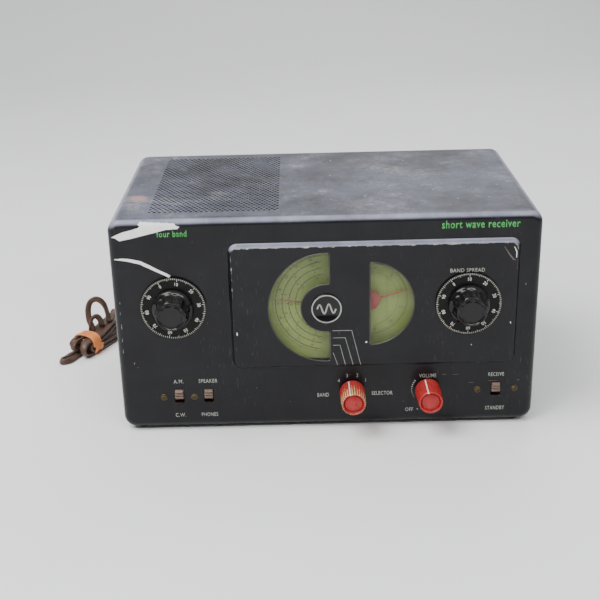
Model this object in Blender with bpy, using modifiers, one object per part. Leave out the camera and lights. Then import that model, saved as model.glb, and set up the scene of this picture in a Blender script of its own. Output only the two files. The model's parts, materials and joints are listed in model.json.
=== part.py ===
"""Table-top shortwave receiver: a steel cabinet with its dials, knobs, switches, chassis, speaker and cord.

Metres, +Z up, +Y to the back, +X to the right as seen from the front. The origin lies on the table, under
the middle of the cabinet with its knobs. Two empties carry the parts: in "panel" a point is
(x, height, out), with out measured forwards from the flat front panel; in "floor" it is (x, depth, height),
with depth measured backwards from the same panel.
"""

import math

import bmesh
import bpy
from mathutils import Vector

# --- Overall sizes -------------------------------------------------------------------------------------
WIDTH = 0.327
HEIGHT = 0.178
DEPTH = 0.187
WALL = 0.0012
FOOT_HEIGHT = 0.003
FOOT_RADIUS = 0.007
CORNER_RADIUS = 0.010
FRONT_EDGE = 0.006
GAP = 0.0003
RUNNING = 0.0001

# --- Front panel layout --------------------------------------------------------------------------------
RAISE = 0.004
RAISED_CORNER = 0.008
RAISED_SLOPE = 0.003
RAISED_LEFT_FIELD = 0.089
RAISED_RIGHT_FIELD = 0.016
RAISED_TOP_FIELD = 0.020
RAISED_BOTTOM = 0.0545
RAISED_X0 = -WIDTH / 2 + RAISED_LEFT_FIELD
RAISED_X1 = WIDTH / 2 - RAISED_RIGHT_FIELD
RAISED_TOP = HEIGHT - RAISED_TOP_FIELD

DIAL_X = RAISED_X0 + 0.0745
DIAL_HEIGHT = (RAISED_BOTTOM + RAISED_TOP) / 2 - 0.001
DIAL_OUTER = (RAISED_TOP - RAISED_BOTTOM) / 2 - 0.0072
DIAL_INNER = 0.0195
DIAL_EDGE = 0.0027
SPREAD_DIAL_X = DIAL_X + 0.0333
SPREAD_DIAL_HEIGHT = DIAL_HEIGHT + 0.0025
SPREAD_DIAL_RADIUS = DIAL_OUTER - 0.0106
EMBLEM_RADIUS = 0.012

TUNING_X = -WIDTH / 2 + 0.046
SPREAD_X = RAISED_X1 - 0.039
TUNING_HEIGHT = DIAL_HEIGHT + 0.002
SELECTOR_X = DIAL_X + 0.0196
VOLUME_X = SELECTOR_X + 0.0597
KNOB_ROW = 0.0323
SWITCH_ROW = 0.0308
MODE_X = TUNING_X - 0.0001
SPEAKER_SWITCH_X = MODE_X + 0.0233
STANDBY_X = WIDTH / 2 - 0.0302

# --- Knobs, shafts and switches ------------------------------------------------------------------------
BIG_KNOB_LENGTH = 0.0195
BIG_KNOB_FLANGE = 0.016
BIG_KNOB_RADIUS = 0.0135
BIG_KNOB_LOBES = 12
SKIRT_RADIUS = 0.0252
SKIRT_THICK = 0.0012
SKIRT_LIFT = 0.0012
RED_KNOB_LENGTH = 0.024
RED_KNOB_RADIUS = 0.0101
RED_KNOB_LIFT = 0.0015
SHAFT_RADIUS = 0.0032
KNOB_GRIP = 0.012
BUSHING_RADIUS = 0.0048
SLOT_WIDTH = 0.0076
SLOT_HEIGHT = 0.0127
SLIDER_WIDTH = 0.0066
SLIDER_HEIGHT = 0.008
SLIDER_THROW = 0.0042
SLIDER_OUT = 0.0026
SWITCH_DEPTH = 0.016
SCREW_PITCH = 0.0241

# --- Dial works, measured back from the panel ----------------------------------------------------------
GLASS_THICK = 0.001
POINTER_DEPTH = 0.0047
POINTER_THICK = 0.0008
DIAL_PLATE_DEPTH = 0.0075
SHEET = 0.001
SHEET_CORNER = 0.003
MAIN_DRUM_DEPTH = 0.013
SPREAD_DRUM_DEPTH = 0.0185
DRUM_WIDTH = 0.004
MAIN_DRUM_RADIUS = 0.027
SPREAD_DRUM_RADIUS = 0.022
DIAL_CORD_RADIUS = 0.0005
SHAFT_CORD_RADIUS = SHAFT_RADIUS + DIAL_CORD_RADIUS + GAP
BRACKET_DEPTH = 0.0235
BRACKET_TOP = RAISED_TOP - 0.008
GANG_DEPTH = 0.0275
MAIN_ROTOR_RADIUS = 0.0155
SPREAD_ROTOR_RADIUS = 0.0085
MAIN_PLATES = 4
SPREAD_PLATES = 3
PLATE_PITCH = 0.005
PLATE_THICK = 0.001
STATOR_SHELL = 0.0014

# --- Chassis and what stands on it ---------------------------------------------------------------------
CHASSIS_FRONT = 0.022
CHASSIS_REAR_ROOM = 0.010
CHASSIS_SIDE_ROOM = 0.012
CHASSIS_BOTTOM = 0.0085
CHASSIS_TOP = 0.056
SPEAKER_RADIUS = 0.0635
SPEAKER_DEPTH = 0.037
SPEAKER_X = -WIDTH / 2 + 0.078
SPEAKER_MIDDLE = DEPTH / 2 + 0.0025
TUBE_RADIUS = 0.0093
CAN_WIDTH = 0.019
CAN_HEIGHT = 0.050
CAN_CORNER = 0.0015
CAPACITOR_RADIUS = 0.0105
CAPACITOR_HEIGHT = 0.062
BRACKET_LAP = 0.012

# --- Back and bottom -----------------------------------------------------------------------------------
BACK_THICK = 0.003
BACK_INSET = 0.002
STRIP_THICK = 0.005
TERMINAL_HEIGHT = 0.003
REAR_OUT = STRIP_THICK + TERMINAL_HEIGHT - BACK_INSET
STRIP_X = 0.064
STRIP_HEIGHT = 0.025
STRIP_LENGTH = 0.056
STRIP_WIDTH = 0.014
TERMINAL_PITCH = 0.016
TERMINAL_RADIUS = 0.0035
VENT_ROWS = 2
VENT_COLUMNS = 5
VENT_PITCH = 0.046
VENT_ROW_PITCH = 0.026
VENT_TOP = 0.036
VENT_RADIUS = 0.007
BOTTOM_FLANGE = 0.019
BOTTOM_LAP = 0.006
BOTTOM_SLOTS = 8
BOTTOM_SLOT_WIDTH = 0.012
BOTTOM_SLOT_LENGTH = 0.070

KNOB_OUT = max(RED_KNOB_LENGTH, RAISE + BIG_KNOB_LENGTH)
PANEL_Y = -(DEPTH + REAR_OUT - KNOB_OUT) / 2

# --- Power cord ----------------------------------------------------------------------------------------
CORD_WIDTH = 0.0055
CORD_X = -0.095
CORD_HEIGHT = 0.024
RELIEF_OUT = 0.008
GROMMET_NECK = 0.0056
GROMMET_RADIUS = 0.0075
GROMMET_TIP = 0.0040
HANK_FRONT = Vector((-0.235, 0.126, 0.0))
HANK_HEADING = math.atan2(0.89, 0.45)
HANK_LENGTH = 0.105
HANK_WIDTH = 0.028
PLUG_SIZE = Vector((0.028, 0.021, 0.017))
PLUG_PLACE = Vector((-0.036, 0.2485, 0.0087))
# (x, depth, height) of the lead from the cover's grommet to the hank, and from the hank to the plug.
LEAD_POINTS = [
    (-0.0950, 0.1916, 0.0240),
    (-0.0952, 0.2020, 0.0236),
    (-0.0975, 0.2110, 0.0205),
    (-0.1025, 0.2190, 0.0145),
    (-0.1105, 0.2245, 0.0075),
    (-0.1215, 0.2275, 0.0040),
    (-0.1350, 0.2280, 0.0031),
    (-0.1490, 0.2265, 0.0031),
    (-0.1620, 0.2235, 0.0033),
    (-0.1725, 0.2190, 0.0042),
]
TAIL_POINTS = [
    (-0.1895, 0.2285, 0.0045),
    (-0.1810, 0.2390, 0.0034),
    (-0.1690, 0.2480, 0.0031),
    (-0.1540, 0.2545, 0.0031),
    (-0.1370, 0.2580, 0.0031),
    (-0.1190, 0.2590, 0.0031),
    (-0.1010, 0.2575, 0.0031),
    (-0.0840, 0.2545, 0.0035),
    (-0.0690, 0.2512, 0.0055),
    (-0.0590, 0.2492, 0.0076),
    (-0.0505, 0.2485, 0.0087),
]

# --- Looks: base colour, roughness, metallic -----------------------------------------------------------
LOOKS = {
    "charcoal_paint": ((0.030, 0.029, 0.034), 0.45, 0.0),
    "black_rubber": ((0.020, 0.020, 0.020), 0.80, 0.0),
    "clear_sheet": ((0.750, 0.780, 0.650), 0.10, 0.0),
    "dial_green": ((0.310, 0.380, 0.110), 0.55, 0.0),
    "pointer_red": ((0.420, 0.060, 0.040), 0.50, 0.0),
    "black_bakelite": ((0.012, 0.012, 0.013), 0.18, 0.0),
    "red_plastic": ((0.520, 0.030, 0.030), 0.35, 0.0),
    "brown_plastic": ((0.160, 0.060, 0.045), 0.45, 0.0),
    "steel": ((0.420, 0.420, 0.400), 0.35, 0.9),
    "aluminium": ((0.620, 0.620, 0.600), 0.35, 1.0),
    "brass": ((0.420, 0.330, 0.160), 0.40, 1.0),
    "phenolic": ((0.140, 0.075, 0.040), 0.60, 0.0),
    "fibreboard": ((0.115, 0.070, 0.042), 0.85, 0.0),
    "paper_cone": ((0.060, 0.055, 0.050), 0.95, 0.0),
    "tube_glass": ((0.550, 0.560, 0.560), 0.08, 0.0),
    "brown_cord": ((0.060, 0.032, 0.022), 0.50, 0.0),
    "dial_string": ((0.350, 0.300, 0.210), 0.90, 0.0),
}

for old in list(bpy.data.objects):
    bpy.data.objects.remove(old, do_unlink=True)

PARTS = bpy.data.collections.new("shortwave_receiver")
CUTTERS = bpy.data.collections.new("cutters")
for group in (PARTS, CUTTERS):
    bpy.context.scene.collection.children.link(group)


def empty(name, turn):
    """An empty at the foot of the front panel that parts are placed in."""
    holder = bpy.data.objects.new(name, None)
    holder.location = (0.0, PANEL_Y, 0.0)
    holder.rotation_euler = turn
    PARTS.objects.link(holder)
    return holder


PANEL = empty("panel", (math.pi / 2, 0.0, 0.0))
FLOOR = empty("floor", (0.0, 0.0, 0.0))


def look_of(name):
    """The Principled material called name, made at its first use."""
    if name in bpy.data.materials:
        return bpy.data.materials[name]
    colour, roughness, metallic = LOOKS[name]
    material = bpy.data.materials.new(name)
    material.use_nodes = True
    shader = material.node_tree.nodes["Principled BSDF"]
    shader.inputs["Base Color"].default_value = (*colour, 1.0)
    shader.inputs["Roughness"].default_value = roughness
    shader.inputs["Metallic"].default_value = metallic
    return material


def placed(data, name, look, parent, place, turn=(0.0, 0.0, 0.0)):
    """An object on the data, in the parts, or in the cutters where look is None."""
    part = bpy.data.objects.new(name, data)
    part.parent = parent
    part.location = place
    part.rotation_euler = turn
    if look is None:
        CUTTERS.objects.link(part)
        part.hide_render = True
        part.display_type = "WIRE"
    else:
        PARTS.objects.link(part)
        data.materials.append(look_of(look))
    return part


def box(name, look, parent, middle, size, bevel=0.0):
    """A box round its middle, with its edges bevelled by bevel."""
    shape = bmesh.new()
    bmesh.ops.create_cube(shape, size=1.0)
    bmesh.ops.scale(shape, vec=Vector(size), verts=shape.verts)
    if bevel:
        bmesh.ops.bevel(shape, geom=shape.edges[:], offset=bevel, segments=1, affect="EDGES")
    mesh = bpy.data.meshes.new(name)
    shape.to_mesh(mesh)
    shape.free()
    return placed(mesh, name, look, parent, middle)


def span_box(name, look, parent, low, high, bevel=0.0):
    """A box between its low and high corners."""
    low, high = Vector(low), Vector(high)
    return box(name, look, parent, (low + high) / 2, high - low, bevel)


def pan_shape(name, look, parent, low, high, corner, front, corner_steps=5, front_steps=2):
    """A box in the panel's axes with round upright corners, and round edges on its front face."""
    low, high = Vector(low), Vector(high)
    shape = bmesh.new()
    bmesh.ops.create_cube(shape, size=1.0)
    bmesh.ops.scale(shape, vec=high - low, verts=shape.verts)
    long_edges = [e for e in shape.edges if abs(e.verts[0].co.z - e.verts[1].co.z) > 1e-6]
    bmesh.ops.bevel(
        shape, geom=long_edges, offset=corner, segments=corner_steps, profile=0.5, affect="EDGES",
    )
    face_height = (high - low).z / 2
    rim = [e for e in shape.edges if min(e.verts[0].co.z, e.verts[1].co.z) > face_height - 1e-6]
    if front > 0:
        bmesh.ops.bevel(shape, geom=rim, offset=front, segments=front_steps, profile=0.5, affect="EDGES")
    mesh = bpy.data.meshes.new(name)
    shape.to_mesh(mesh)
    shape.free()
    return placed(mesh, name, look, parent, (low + high) / 2)


def turned(name, look, parent, place, profile, steps=24, closed=False, turn=(0.0, 0.0, 0.0)):
    """A profile of (radius, height), run down its outer side and turned about the local Z axis.

    An open profile starts and ends on the axis; a closed one goes round a ring's section.
    """
    edges = [(i, i + 1) for i in range(len(profile) - 1)]
    if closed:
        edges.append((len(profile) - 1, 0))
    mesh = bpy.data.meshes.new(name)
    mesh.from_pydata([(radius, 0.0, height) for radius, height in profile], edges, [])
    part = placed(mesh, name, look, parent, place, turn)
    screw = part.modifiers.new("turn", "SCREW")
    screw.axis = "Z"
    screw.steps = steps
    screw.render_steps = steps
    screw.use_merge_vertices = True
    screw.merge_threshold = 0.00001
    screw.use_smooth_shade = False
    return part


def rod(name, look, parent, place, radius, low, high, steps=24, turn=(0.0, 0.0, 0.0)):
    """A round bar along the local Z axis from low to high."""
    profile = [(0.0, high), (radius, high), (radius, low), (0.0, low)]
    return turned(name, look, parent, place, profile, steps, turn=turn)


def arc(middle, radius, start, end, steps):
    """Points on an arc round middle, with both ends, angles in degrees from +X towards +Y."""
    angles = [math.radians(start + (end - start) * i / steps) for i in range(steps + 1)]
    return [(middle[0] + radius * math.cos(a), middle[1] + radius * math.sin(a)) for a in angles]


def circle(middle, radius, steps=16):
    return arc(middle, radius, 0, 360, steps)[:-1]


def round_rectangle(low, high, radius, steps=4):
    """The outline of a rectangle with round corners."""
    (x0, y0), (x1, y1) = low, high
    return (
        arc((x1 - radius, y1 - radius), radius, 0, 90, steps)
        + arc((x0 + radius, y1 - radius), radius, 90, 180, steps)
        + arc((x0 + radius, y0 + radius), radius, 180, 270, steps)
        + arc((x1 - radius, y0 + radius), radius, 270, 360, steps)
    )


def plate(name, look, parent, middle, outlines, thick, turn=(0.0, 0.0, 0.0)):
    """A flat sheet: the first outline less the others, thick along the local Z axis."""
    curve = bpy.data.curves.new(name, "CURVE")
    curve.dimensions = "2D"
    curve.fill_mode = "BOTH"
    curve.extrude = thick / 2
    for outline in outlines:
        spline = curve.splines.new("POLY")
        spline.points.add(len(outline) - 1)
        spline.points.foreach_set("co", [c for x, y in outline for c in (x, y, 0.0, 1.0)])
        spline.use_cyclic_u = True
    return placed(curve, name, look, parent, middle, turn)


def tube(name, look, parent, points, radius, resolution=2, cyclic=False):
    """A round wire through the points."""
    curve = bpy.data.curves.new(name, "CURVE")
    curve.dimensions = "3D"
    curve.bevel_depth = radius
    curve.bevel_resolution = resolution
    curve.use_fill_caps = not cyclic
    spline = curve.splines.new("POLY")
    spline.points.add(len(points) - 1)
    spline.points.foreach_set("co", [c for point in points for c in (*point, 1.0)])
    spline.use_cyclic_u = cyclic
    return placed(curve, name, look, parent, (0.0, 0.0, 0.0))


def meshed(part):
    """The same object with its curve made a welded mesh, so that a Boolean can take it."""
    bpy.context.view_layer.update()
    shape = part.evaluated_get(bpy.context.evaluated_depsgraph_get())
    mesh = bpy.data.meshes.new_from_object(shape)
    work = bmesh.new()
    work.from_mesh(mesh)
    bmesh.ops.remove_doubles(work, verts=work.verts, dist=0.000001)
    work.to_mesh(mesh)
    work.free()
    twin = bpy.data.objects.new(part.name, mesh)
    for group in part.users_collection:
        group.objects.link(twin)
    twin.parent = part.parent
    twin.matrix_basis = part.matrix_basis.copy()
    twin.hide_render = part.hide_render
    twin.display_type = part.display_type
    name = part.name
    bpy.data.objects.remove(part, do_unlink=True)
    twin.name = name
    return twin


def boolean(part, other, operation):
    """A live Boolean on part with other, which becomes a cutter."""
    if other.name not in CUTTERS.objects:
        for group in list(other.users_collection):
            group.objects.unlink(other)
        CUTTERS.objects.link(other)
        other.hide_render = True
        other.display_type = "WIRE"
    step = part.modifiers.new(other.name, "BOOLEAN")
    step.operation = operation
    step.object = other
    step.solver = "EXACT"


def cut(part, other):
    boolean(part, other, "DIFFERENCE")


def join(part, other):
    boolean(part, other, "UNION")


def smooth_line(points, spacing):
    """Points a spacing apart on a Catmull-Rom curve through the given ones."""
    knots = [Vector(p) for p in points]
    knots = [2 * knots[0] - knots[1]] + knots + [2 * knots[-1] - knots[-2]]
    line = []
    for a, b, c, d in zip(knots, knots[1:], knots[2:], knots[3:]):
        pieces = max(1, round((c - b).length / spacing))
        for i in range(pieces):
            t = i / pieces
            line.append(
                b + (c - a) * (t / 2) + (2 * a - 5 * b + 4 * c - d) * (t * t / 2)
                + (3 * b - a - 3 * c + d) * (t ** 3 / 2)
            )
    line.append(knots[-2])
    return line


# --- Cabinet -------------------------------------------------------------------------------------------
def raised_block(name, look, inset, back, front):
    """The dial panel's raised shape, drawn in from its outline by inset, between two out positions."""
    return pan_shape(
        name, look, PANEL,
        (RAISED_X0 + inset, RAISED_BOTTOM + inset, back),
        (RAISED_X1 - inset, RAISED_TOP - inset, front),
        RAISED_CORNER - inset, RAISED_SLOPE, corner_steps=4,
    )


def main_window():
    """The half ring left of the main dial's middle."""
    corner = math.degrees(math.acos(DIAL_EDGE / DIAL_OUTER))
    inner = math.degrees(math.acos(DIAL_EDGE / DIAL_INNER))
    middle = (DIAL_X, DIAL_HEIGHT)
    outer_arc = arc(middle, DIAL_OUTER, corner, 360 - corner, 32)
    return outer_arc + arc(middle, DIAL_INNER, 360 - inner, inner, 16)


def spread_window():
    """The half disc right of the band-spread dial's middle."""
    return arc((SPREAD_DIAL_X, SPREAD_DIAL_HEIGHT), SPREAD_DIAL_RADIUS, -90, 90, 28)


def make_cabinet():
    """One steel shell: front, top, bottom and sides, with the raised dial panel pressed out in front."""
    left, right = -WIDTH / 2, WIDTH / 2
    cabinet = pan_shape(
        "cabinet", "charcoal_paint", PANEL, (left, FOOT_HEIGHT, -DEPTH), (right, HEIGHT, 0.0),
        CORNER_RADIUS, FRONT_EDGE, front_steps=3,
    )
    join(cabinet, raised_block("raised_outside", None, 0.0, -WALL, RAISE))
    cut(cabinet, pan_shape(
        "cabinet_inside", None, PANEL,
        (left + WALL, FOOT_HEIGHT + WALL, -DEPTH - WALL), (right - WALL, HEIGHT - WALL, -WALL),
        CORNER_RADIUS - WALL, FRONT_EDGE - WALL, front_steps=3,
    ))
    cut(cabinet, raised_block("raised_inside", None, WALL, -3 * WALL, RAISE - WALL))
    for name, outline in (("main_window", main_window()), ("spread_window", spread_window())):
        cut(cabinet, meshed(plate(name, None, PANEL, (0.0, 0.0, RAISE), [outline], 4 * WALL)))
    holes = (
        ("tuning_hole", TUNING_X, TUNING_HEIGHT, BUSHING_RADIUS + GAP),
        ("spread_hole", SPREAD_X, TUNING_HEIGHT, BUSHING_RADIUS + GAP),
        ("selector_hole", SELECTOR_X, KNOB_ROW, SHAFT_RADIUS + GAP),
        ("volume_hole", VOLUME_X, KNOB_ROW, SHAFT_RADIUS + GAP),
    )
    for name, x, height, radius in holes:
        cut(cabinet, rod(name, None, PANEL, (x, height, 0.0), radius, -3 * WALL, 2 * RAISE, 20))
    for name, x in (("mode", MODE_X), ("speaker", SPEAKER_SWITCH_X), ("standby", STANDBY_X)):
        size = (SLOT_WIDTH, SLOT_HEIGHT, 6 * WALL)
        cut(cabinet, box(name + "_slot", None, PANEL, (x, SWITCH_ROW, 0.0), size))
    cut(cabinet, span_box(
        "bottom_opening", None, FLOOR,
        (left + BOTTOM_FLANGE, BOTTOM_FLANGE, FOOT_HEIGHT - WALL),
        (right - BOTTOM_FLANGE, DEPTH - BOTTOM_FLANGE, FOOT_HEIGHT + 3 * WALL),
    ))


def make_bottom():
    """The slotted bottom plate, lying on the cabinet's inner flange."""
    low = (-WIDTH / 2 + BOTTOM_FLANGE - BOTTOM_LAP, BOTTOM_FLANGE - BOTTOM_LAP)
    high = (WIDTH / 2 - BOTTOM_FLANGE + BOTTOM_LAP, DEPTH - BOTTOM_FLANGE + BOTTOM_LAP)
    pitch = (high[0] - low[0]) / (BOTTOM_SLOTS + 1)
    outlines = [round_rectangle(low, high, SHEET_CORNER, 2)]
    for i in range(BOTTOM_SLOTS):
        x = low[0] + pitch * (i + 1)
        near = (x - BOTTOM_SLOT_WIDTH / 2, (DEPTH - BOTTOM_SLOT_LENGTH) / 2)
        far = (x + BOTTOM_SLOT_WIDTH / 2, (DEPTH + BOTTOM_SLOT_LENGTH) / 2)
        outlines.append(round_rectangle(near, far, BOTTOM_SLOT_WIDTH / 2 - 0.0001, 3))
    height = FOOT_HEIGHT + WALL + GAP + SHEET / 2
    plate("bottom_plate", "steel", FLOOR, (0.0, 0.0, height), outlines, SHEET)


def make_feet():
    """Four rubber feet under the corners."""
    side = WIDTH / 2 - BOTTOM_FLANGE + 0.005
    number = 0
    for x in (-side, side):
        for depth in (BOTTOM_FLANGE - 0.005, DEPTH - BOTTOM_FLANGE + 0.005):
            number += 1
            top = FOOT_HEIGHT - GAP
            profile = [(0.0, top), (FOOT_RADIUS, top), (FOOT_RADIUS * 0.86, 0.0), (0.0, 0.0)]
            turned(f"foot_{number}", "black_rubber", FLOOR, (x, depth, 0.0), profile, 20)


def make_back():
    """The fibreboard back with its air holes, the aerial terminals and the cord's grommet."""
    side = WIDTH / 2 - WALL - GAP
    low = (-side, FOOT_HEIGHT + WALL + GAP)
    high = (side, HEIGHT - WALL - GAP)
    outlines = [round_rectangle(low, high, CORNER_RADIUS - WALL, 4)]
    outlines.append(circle((CORD_X, CORD_HEIGHT), GROMMET_NECK + GAP, 20))
    for row in range(VENT_ROWS):
        for column in range(VENT_COLUMNS):
            x = VENT_PITCH * (column - (VENT_COLUMNS - 1) / 2)
            outlines.append(circle((x, HEIGHT - VENT_TOP - VENT_ROW_PITCH * row), VENT_RADIUS, 12))
    out = -(DEPTH - BACK_INSET - BACK_THICK / 2)
    plate("back_cover", "fibreboard", PANEL, (0.0, 0.0, out), outlines, BACK_THICK)

    face = -(DEPTH - BACK_INSET + GAP)
    strip = span_box(
        "antenna_strip", "phenolic", PANEL,
        (STRIP_X - STRIP_LENGTH / 2, STRIP_HEIGHT - STRIP_WIDTH / 2, face - STRIP_THICK + GAP),
        (STRIP_X + STRIP_LENGTH / 2, STRIP_HEIGHT + STRIP_WIDTH / 2, face),
    )
    for i in (-1, 0, 1):
        place = (STRIP_X + TERMINAL_PITCH * i, STRIP_HEIGHT, 0.0)
        ends = (-(DEPTH + REAR_OUT), face - 0.002)
        join(strip, rod(f"terminal_{i + 2}", None, PANEL, place, TERMINAL_RADIUS, *ends, 12))

    inside, tip = BACK_THICK + 0.002, BACK_INSET - RELIEF_OUT
    relief = [
        (0.0, inside), (GROMMET_NECK, inside), (GROMMET_NECK, 0.0), (GROMMET_RADIUS, 0.0),
        (GROMMET_RADIUS, -0.0022), (GROMMET_TIP, tip), (0.0, tip),
    ]
    turned("cord_grommet", "black_rubber", PANEL, (CORD_X, CORD_HEIGHT, face), relief, 20)


# --- Dials ---------------------------------------------------------------------------------------------
def make_dials():
    """The clear sheet, the printed plate behind it, and the emblem on the raised panel."""
    margin = 0.004
    low = (RAISED_X0 + RAISED_CORNER, RAISED_BOTTOM + margin)
    high = (SPREAD_X - SKIRT_RADIUS / 2, RAISED_TOP - margin)
    glass_out = RAISE - WALL - GAP - GLASS_THICK / 2
    sheet = [round_rectangle(low, high, SHEET_CORNER, 2)]
    plate("dial_glass", "clear_sheet", PANEL, (0.0, 0.0, glass_out), sheet, GLASS_THICK)

    disc = [
        (0.0, 0.0010), (EMBLEM_RADIUS - 0.0004, 0.0010), (EMBLEM_RADIUS, 0.0006),
        (EMBLEM_RADIUS, 0.0), (0.0, 0.0),
    ]
    turned("emblem", "black_bakelite", PANEL, (DIAL_X, DIAL_HEIGHT, RAISE + GAP), disc, 32)

    bore = SHAFT_RADIUS + 3 * GAP
    holes = [circle((DIAL_X, DIAL_HEIGHT), bore), circle((SPREAD_DIAL_X, SPREAD_DIAL_HEIGHT), bore)]
    out = -(DIAL_PLATE_DEPTH + SHEET / 2)
    outlines = [round_rectangle(low, high, SHEET_CORNER, 2)] + holes
    dial = meshed(plate("dial_plate", "dial_green", PANEL, (0.0, 0.0, out), outlines, SHEET))
    inset = 0.006
    sides, levels = (low[0] + inset, high[0] - inset), (low[1] + inset, high[1] - inset)
    corners = [(x, height) for x in sides for height in levels]
    for i, (x, height) in enumerate(corners):
        back, front = -(BRACKET_DEPTH - GAP), -(DIAL_PLATE_DEPTH + SHEET / 2)
        join(dial, rod(f"dial_post_{i}", None, PANEL, (x, height, 0.0), 0.002, back, front, 10))

    shafts = [
        (TUNING_X, TUNING_HEIGHT), (SPREAD_X, TUNING_HEIGHT),
        (DIAL_X, DIAL_HEIGHT), (SPREAD_DIAL_X, SPREAD_DIAL_HEIGHT),
    ]
    low, high = (TUNING_X - BRACKET_LAP, CHASSIS_TOP + GAP), (SPREAD_X + BRACKET_LAP, BRACKET_TOP)
    bracket = [round_rectangle(low, high, 0.004, 2)]
    bracket += [circle(shaft, SHAFT_RADIUS + RUNNING, 24) for shaft in shafts]
    plate("dial_bracket", "steel", PANEL, (0.0, 0.0, -(BRACKET_DEPTH + SHEET / 2)), bracket, SHEET)


def pointer(name, x, height, reach, angle, hub):
    """A flat hand on a round hub, drawn pointing along +X and turned to its angle."""
    width = 0.0011
    half = math.degrees(math.asin(width / hub))
    hand = arc((0.0, 0.0), hub, half, 360 - half, 20) + [(reach, -width * 0.5), (reach, width * 0.5)]
    outlines = [hand, circle((0.0, 0.0), SHAFT_RADIUS + GAP)]
    out = -(POINTER_DEPTH + POINTER_THICK / 2)
    turn = (0.0, 0.0, math.radians(angle))
    plate(name, "pointer_red", PANEL, (x, height, out), outlines, POINTER_THICK, turn)


def drum(name, x, height, depth, radius):
    """A dial-cord drum with a groove for its cord and a bore for the gang's shaft."""
    bore, hub, half = SHAFT_RADIUS + GAP, 0.0065, DRUM_WIDTH / 2
    groove, flange = radius - DIAL_CORD_RADIUS - GAP, radius + 0.0012
    profile = [
        (hub, half), (hub, 0.0006), (groove - 0.002, 0.0006), (groove - 0.002, half), (flange, half),
        (flange, DIAL_CORD_RADIUS + GAP), (groove, DIAL_CORD_RADIUS + GAP), (groove, -DIAL_CORD_RADIUS - GAP),
        (flange, -DIAL_CORD_RADIUS - GAP), (flange, -half), (bore, -half), (bore, half),
    ]
    turned(name, "aluminium", PANEL, (x, height, -depth), profile, 28, closed=True)


def dial_cord(name, a, radius_a, b, radius_b, depth):
    """An endless cord round two wheels that turn the same way, along their outer tangents."""
    a, b = Vector(a), Vector(b)
    along = math.atan2(b.y - a.y, b.x - a.x)
    lean = math.acos((radius_a - radius_b) / (b - a).length)
    start, end = math.degrees(along + lean), math.degrees(along - lean)
    loop = arc(a, radius_a, start, end + 360, 20) + arc(b, radius_b, end, start, 8)
    tube(name, "dial_string", PANEL, [(x, y, -depth) for x, y in loop], DIAL_CORD_RADIUS, 1, cyclic=True)


def gang(prefix, x, height, rotor_radius, plates):
    """A variable capacitor: the frame, the fixed half-round plates, and the rotor on its shaft."""
    length = PLATE_PITCH * (plates + 1)
    rear = GANG_DEPTH + SHEET + length
    shell = rotor_radius + 0.0006
    shell_out = shell + STATOR_SHELL
    base = CHASSIS_TOP + GAP
    top = height + shell_out
    half_width = shell_out

    section = [
        (GANG_DEPTH, base), (rear + SHEET, base), (rear + SHEET, top), (rear, top),
        (rear, base + SHEET), (GANG_DEPTH + SHEET, base + SHEET),
        (GANG_DEPTH + SHEET, top), (GANG_DEPTH, top),
    ]
    turn = (math.pi / 2, 0.0, math.pi / 2)
    place = (x, 0.0, 0.0)
    frame = meshed(plate(prefix + "_gang_frame", "aluminium", FLOOR, place, [section], 2 * half_width, turn))
    bore = rod(prefix + "_frame_bore", None, PANEL, (x, height, 0.0), SHAFT_RADIUS + RUNNING, -rear - 0.01, 0.0)
    cut(frame, bore)

    # Rotor: a shaft with whole discs, whose upper halves are cut off above the shaft.
    profile = [(0.0, -POINTER_DEPTH + 0.0005), (SHAFT_RADIUS, -POINTER_DEPTH + 0.0005)]
    for i in range(plates):
        disc = -(GANG_DEPTH + SHEET + PLATE_PITCH * (i + 1))
        profile += [
            (SHAFT_RADIUS, disc + PLATE_THICK / 2), (rotor_radius, disc + PLATE_THICK / 2),
            (rotor_radius, disc - PLATE_THICK / 2), (SHAFT_RADIUS, disc - PLATE_THICK / 2),
        ]
    profile += [(SHAFT_RADIUS, -rear - SHEET - 0.002), (0.0, -rear - SHEET - 0.002)]
    rotor = turned(prefix + "_rotor", "aluminium", PANEL, (x, height, 0.0), profile, 20)
    cut(rotor, span_box(
        prefix + "_rotor_half", None, PANEL,
        (x - 0.03, height + SHAFT_RADIUS + GAP, -rear), (x + 0.03, height + 0.03, -GANG_DEPTH - SHEET),
    ))

    # Stator: a half shell over the rotor with fins that reach between the discs.
    first = -(GANG_DEPTH + SHEET + GAP)
    last = -(rear - GAP)
    fin = SHAFT_RADIUS + 0.002
    profile = [(shell_out, first), (shell_out, last), (shell, last)]
    for i in range(plates, -1, -1):
        middle = -(GANG_DEPTH + SHEET + PLATE_PITCH * (i + 0.5))
        profile += [
            (shell, middle - PLATE_THICK / 2), (fin, middle - PLATE_THICK / 2),
            (fin, middle + PLATE_THICK / 2), (shell, middle + PLATE_THICK / 2),
        ]
    profile.append((shell, first))
    stator = turned(prefix + "_stator", "aluminium", PANEL, (x, height, 0.0), profile, 20, closed=True)
    cut(stator, span_box(
        prefix + "_stator_half", None, PANEL,
        (x - 0.03, height - 0.03, -rear - 0.01), (x + 0.03, height + GAP, 0.0),
    ))


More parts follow.
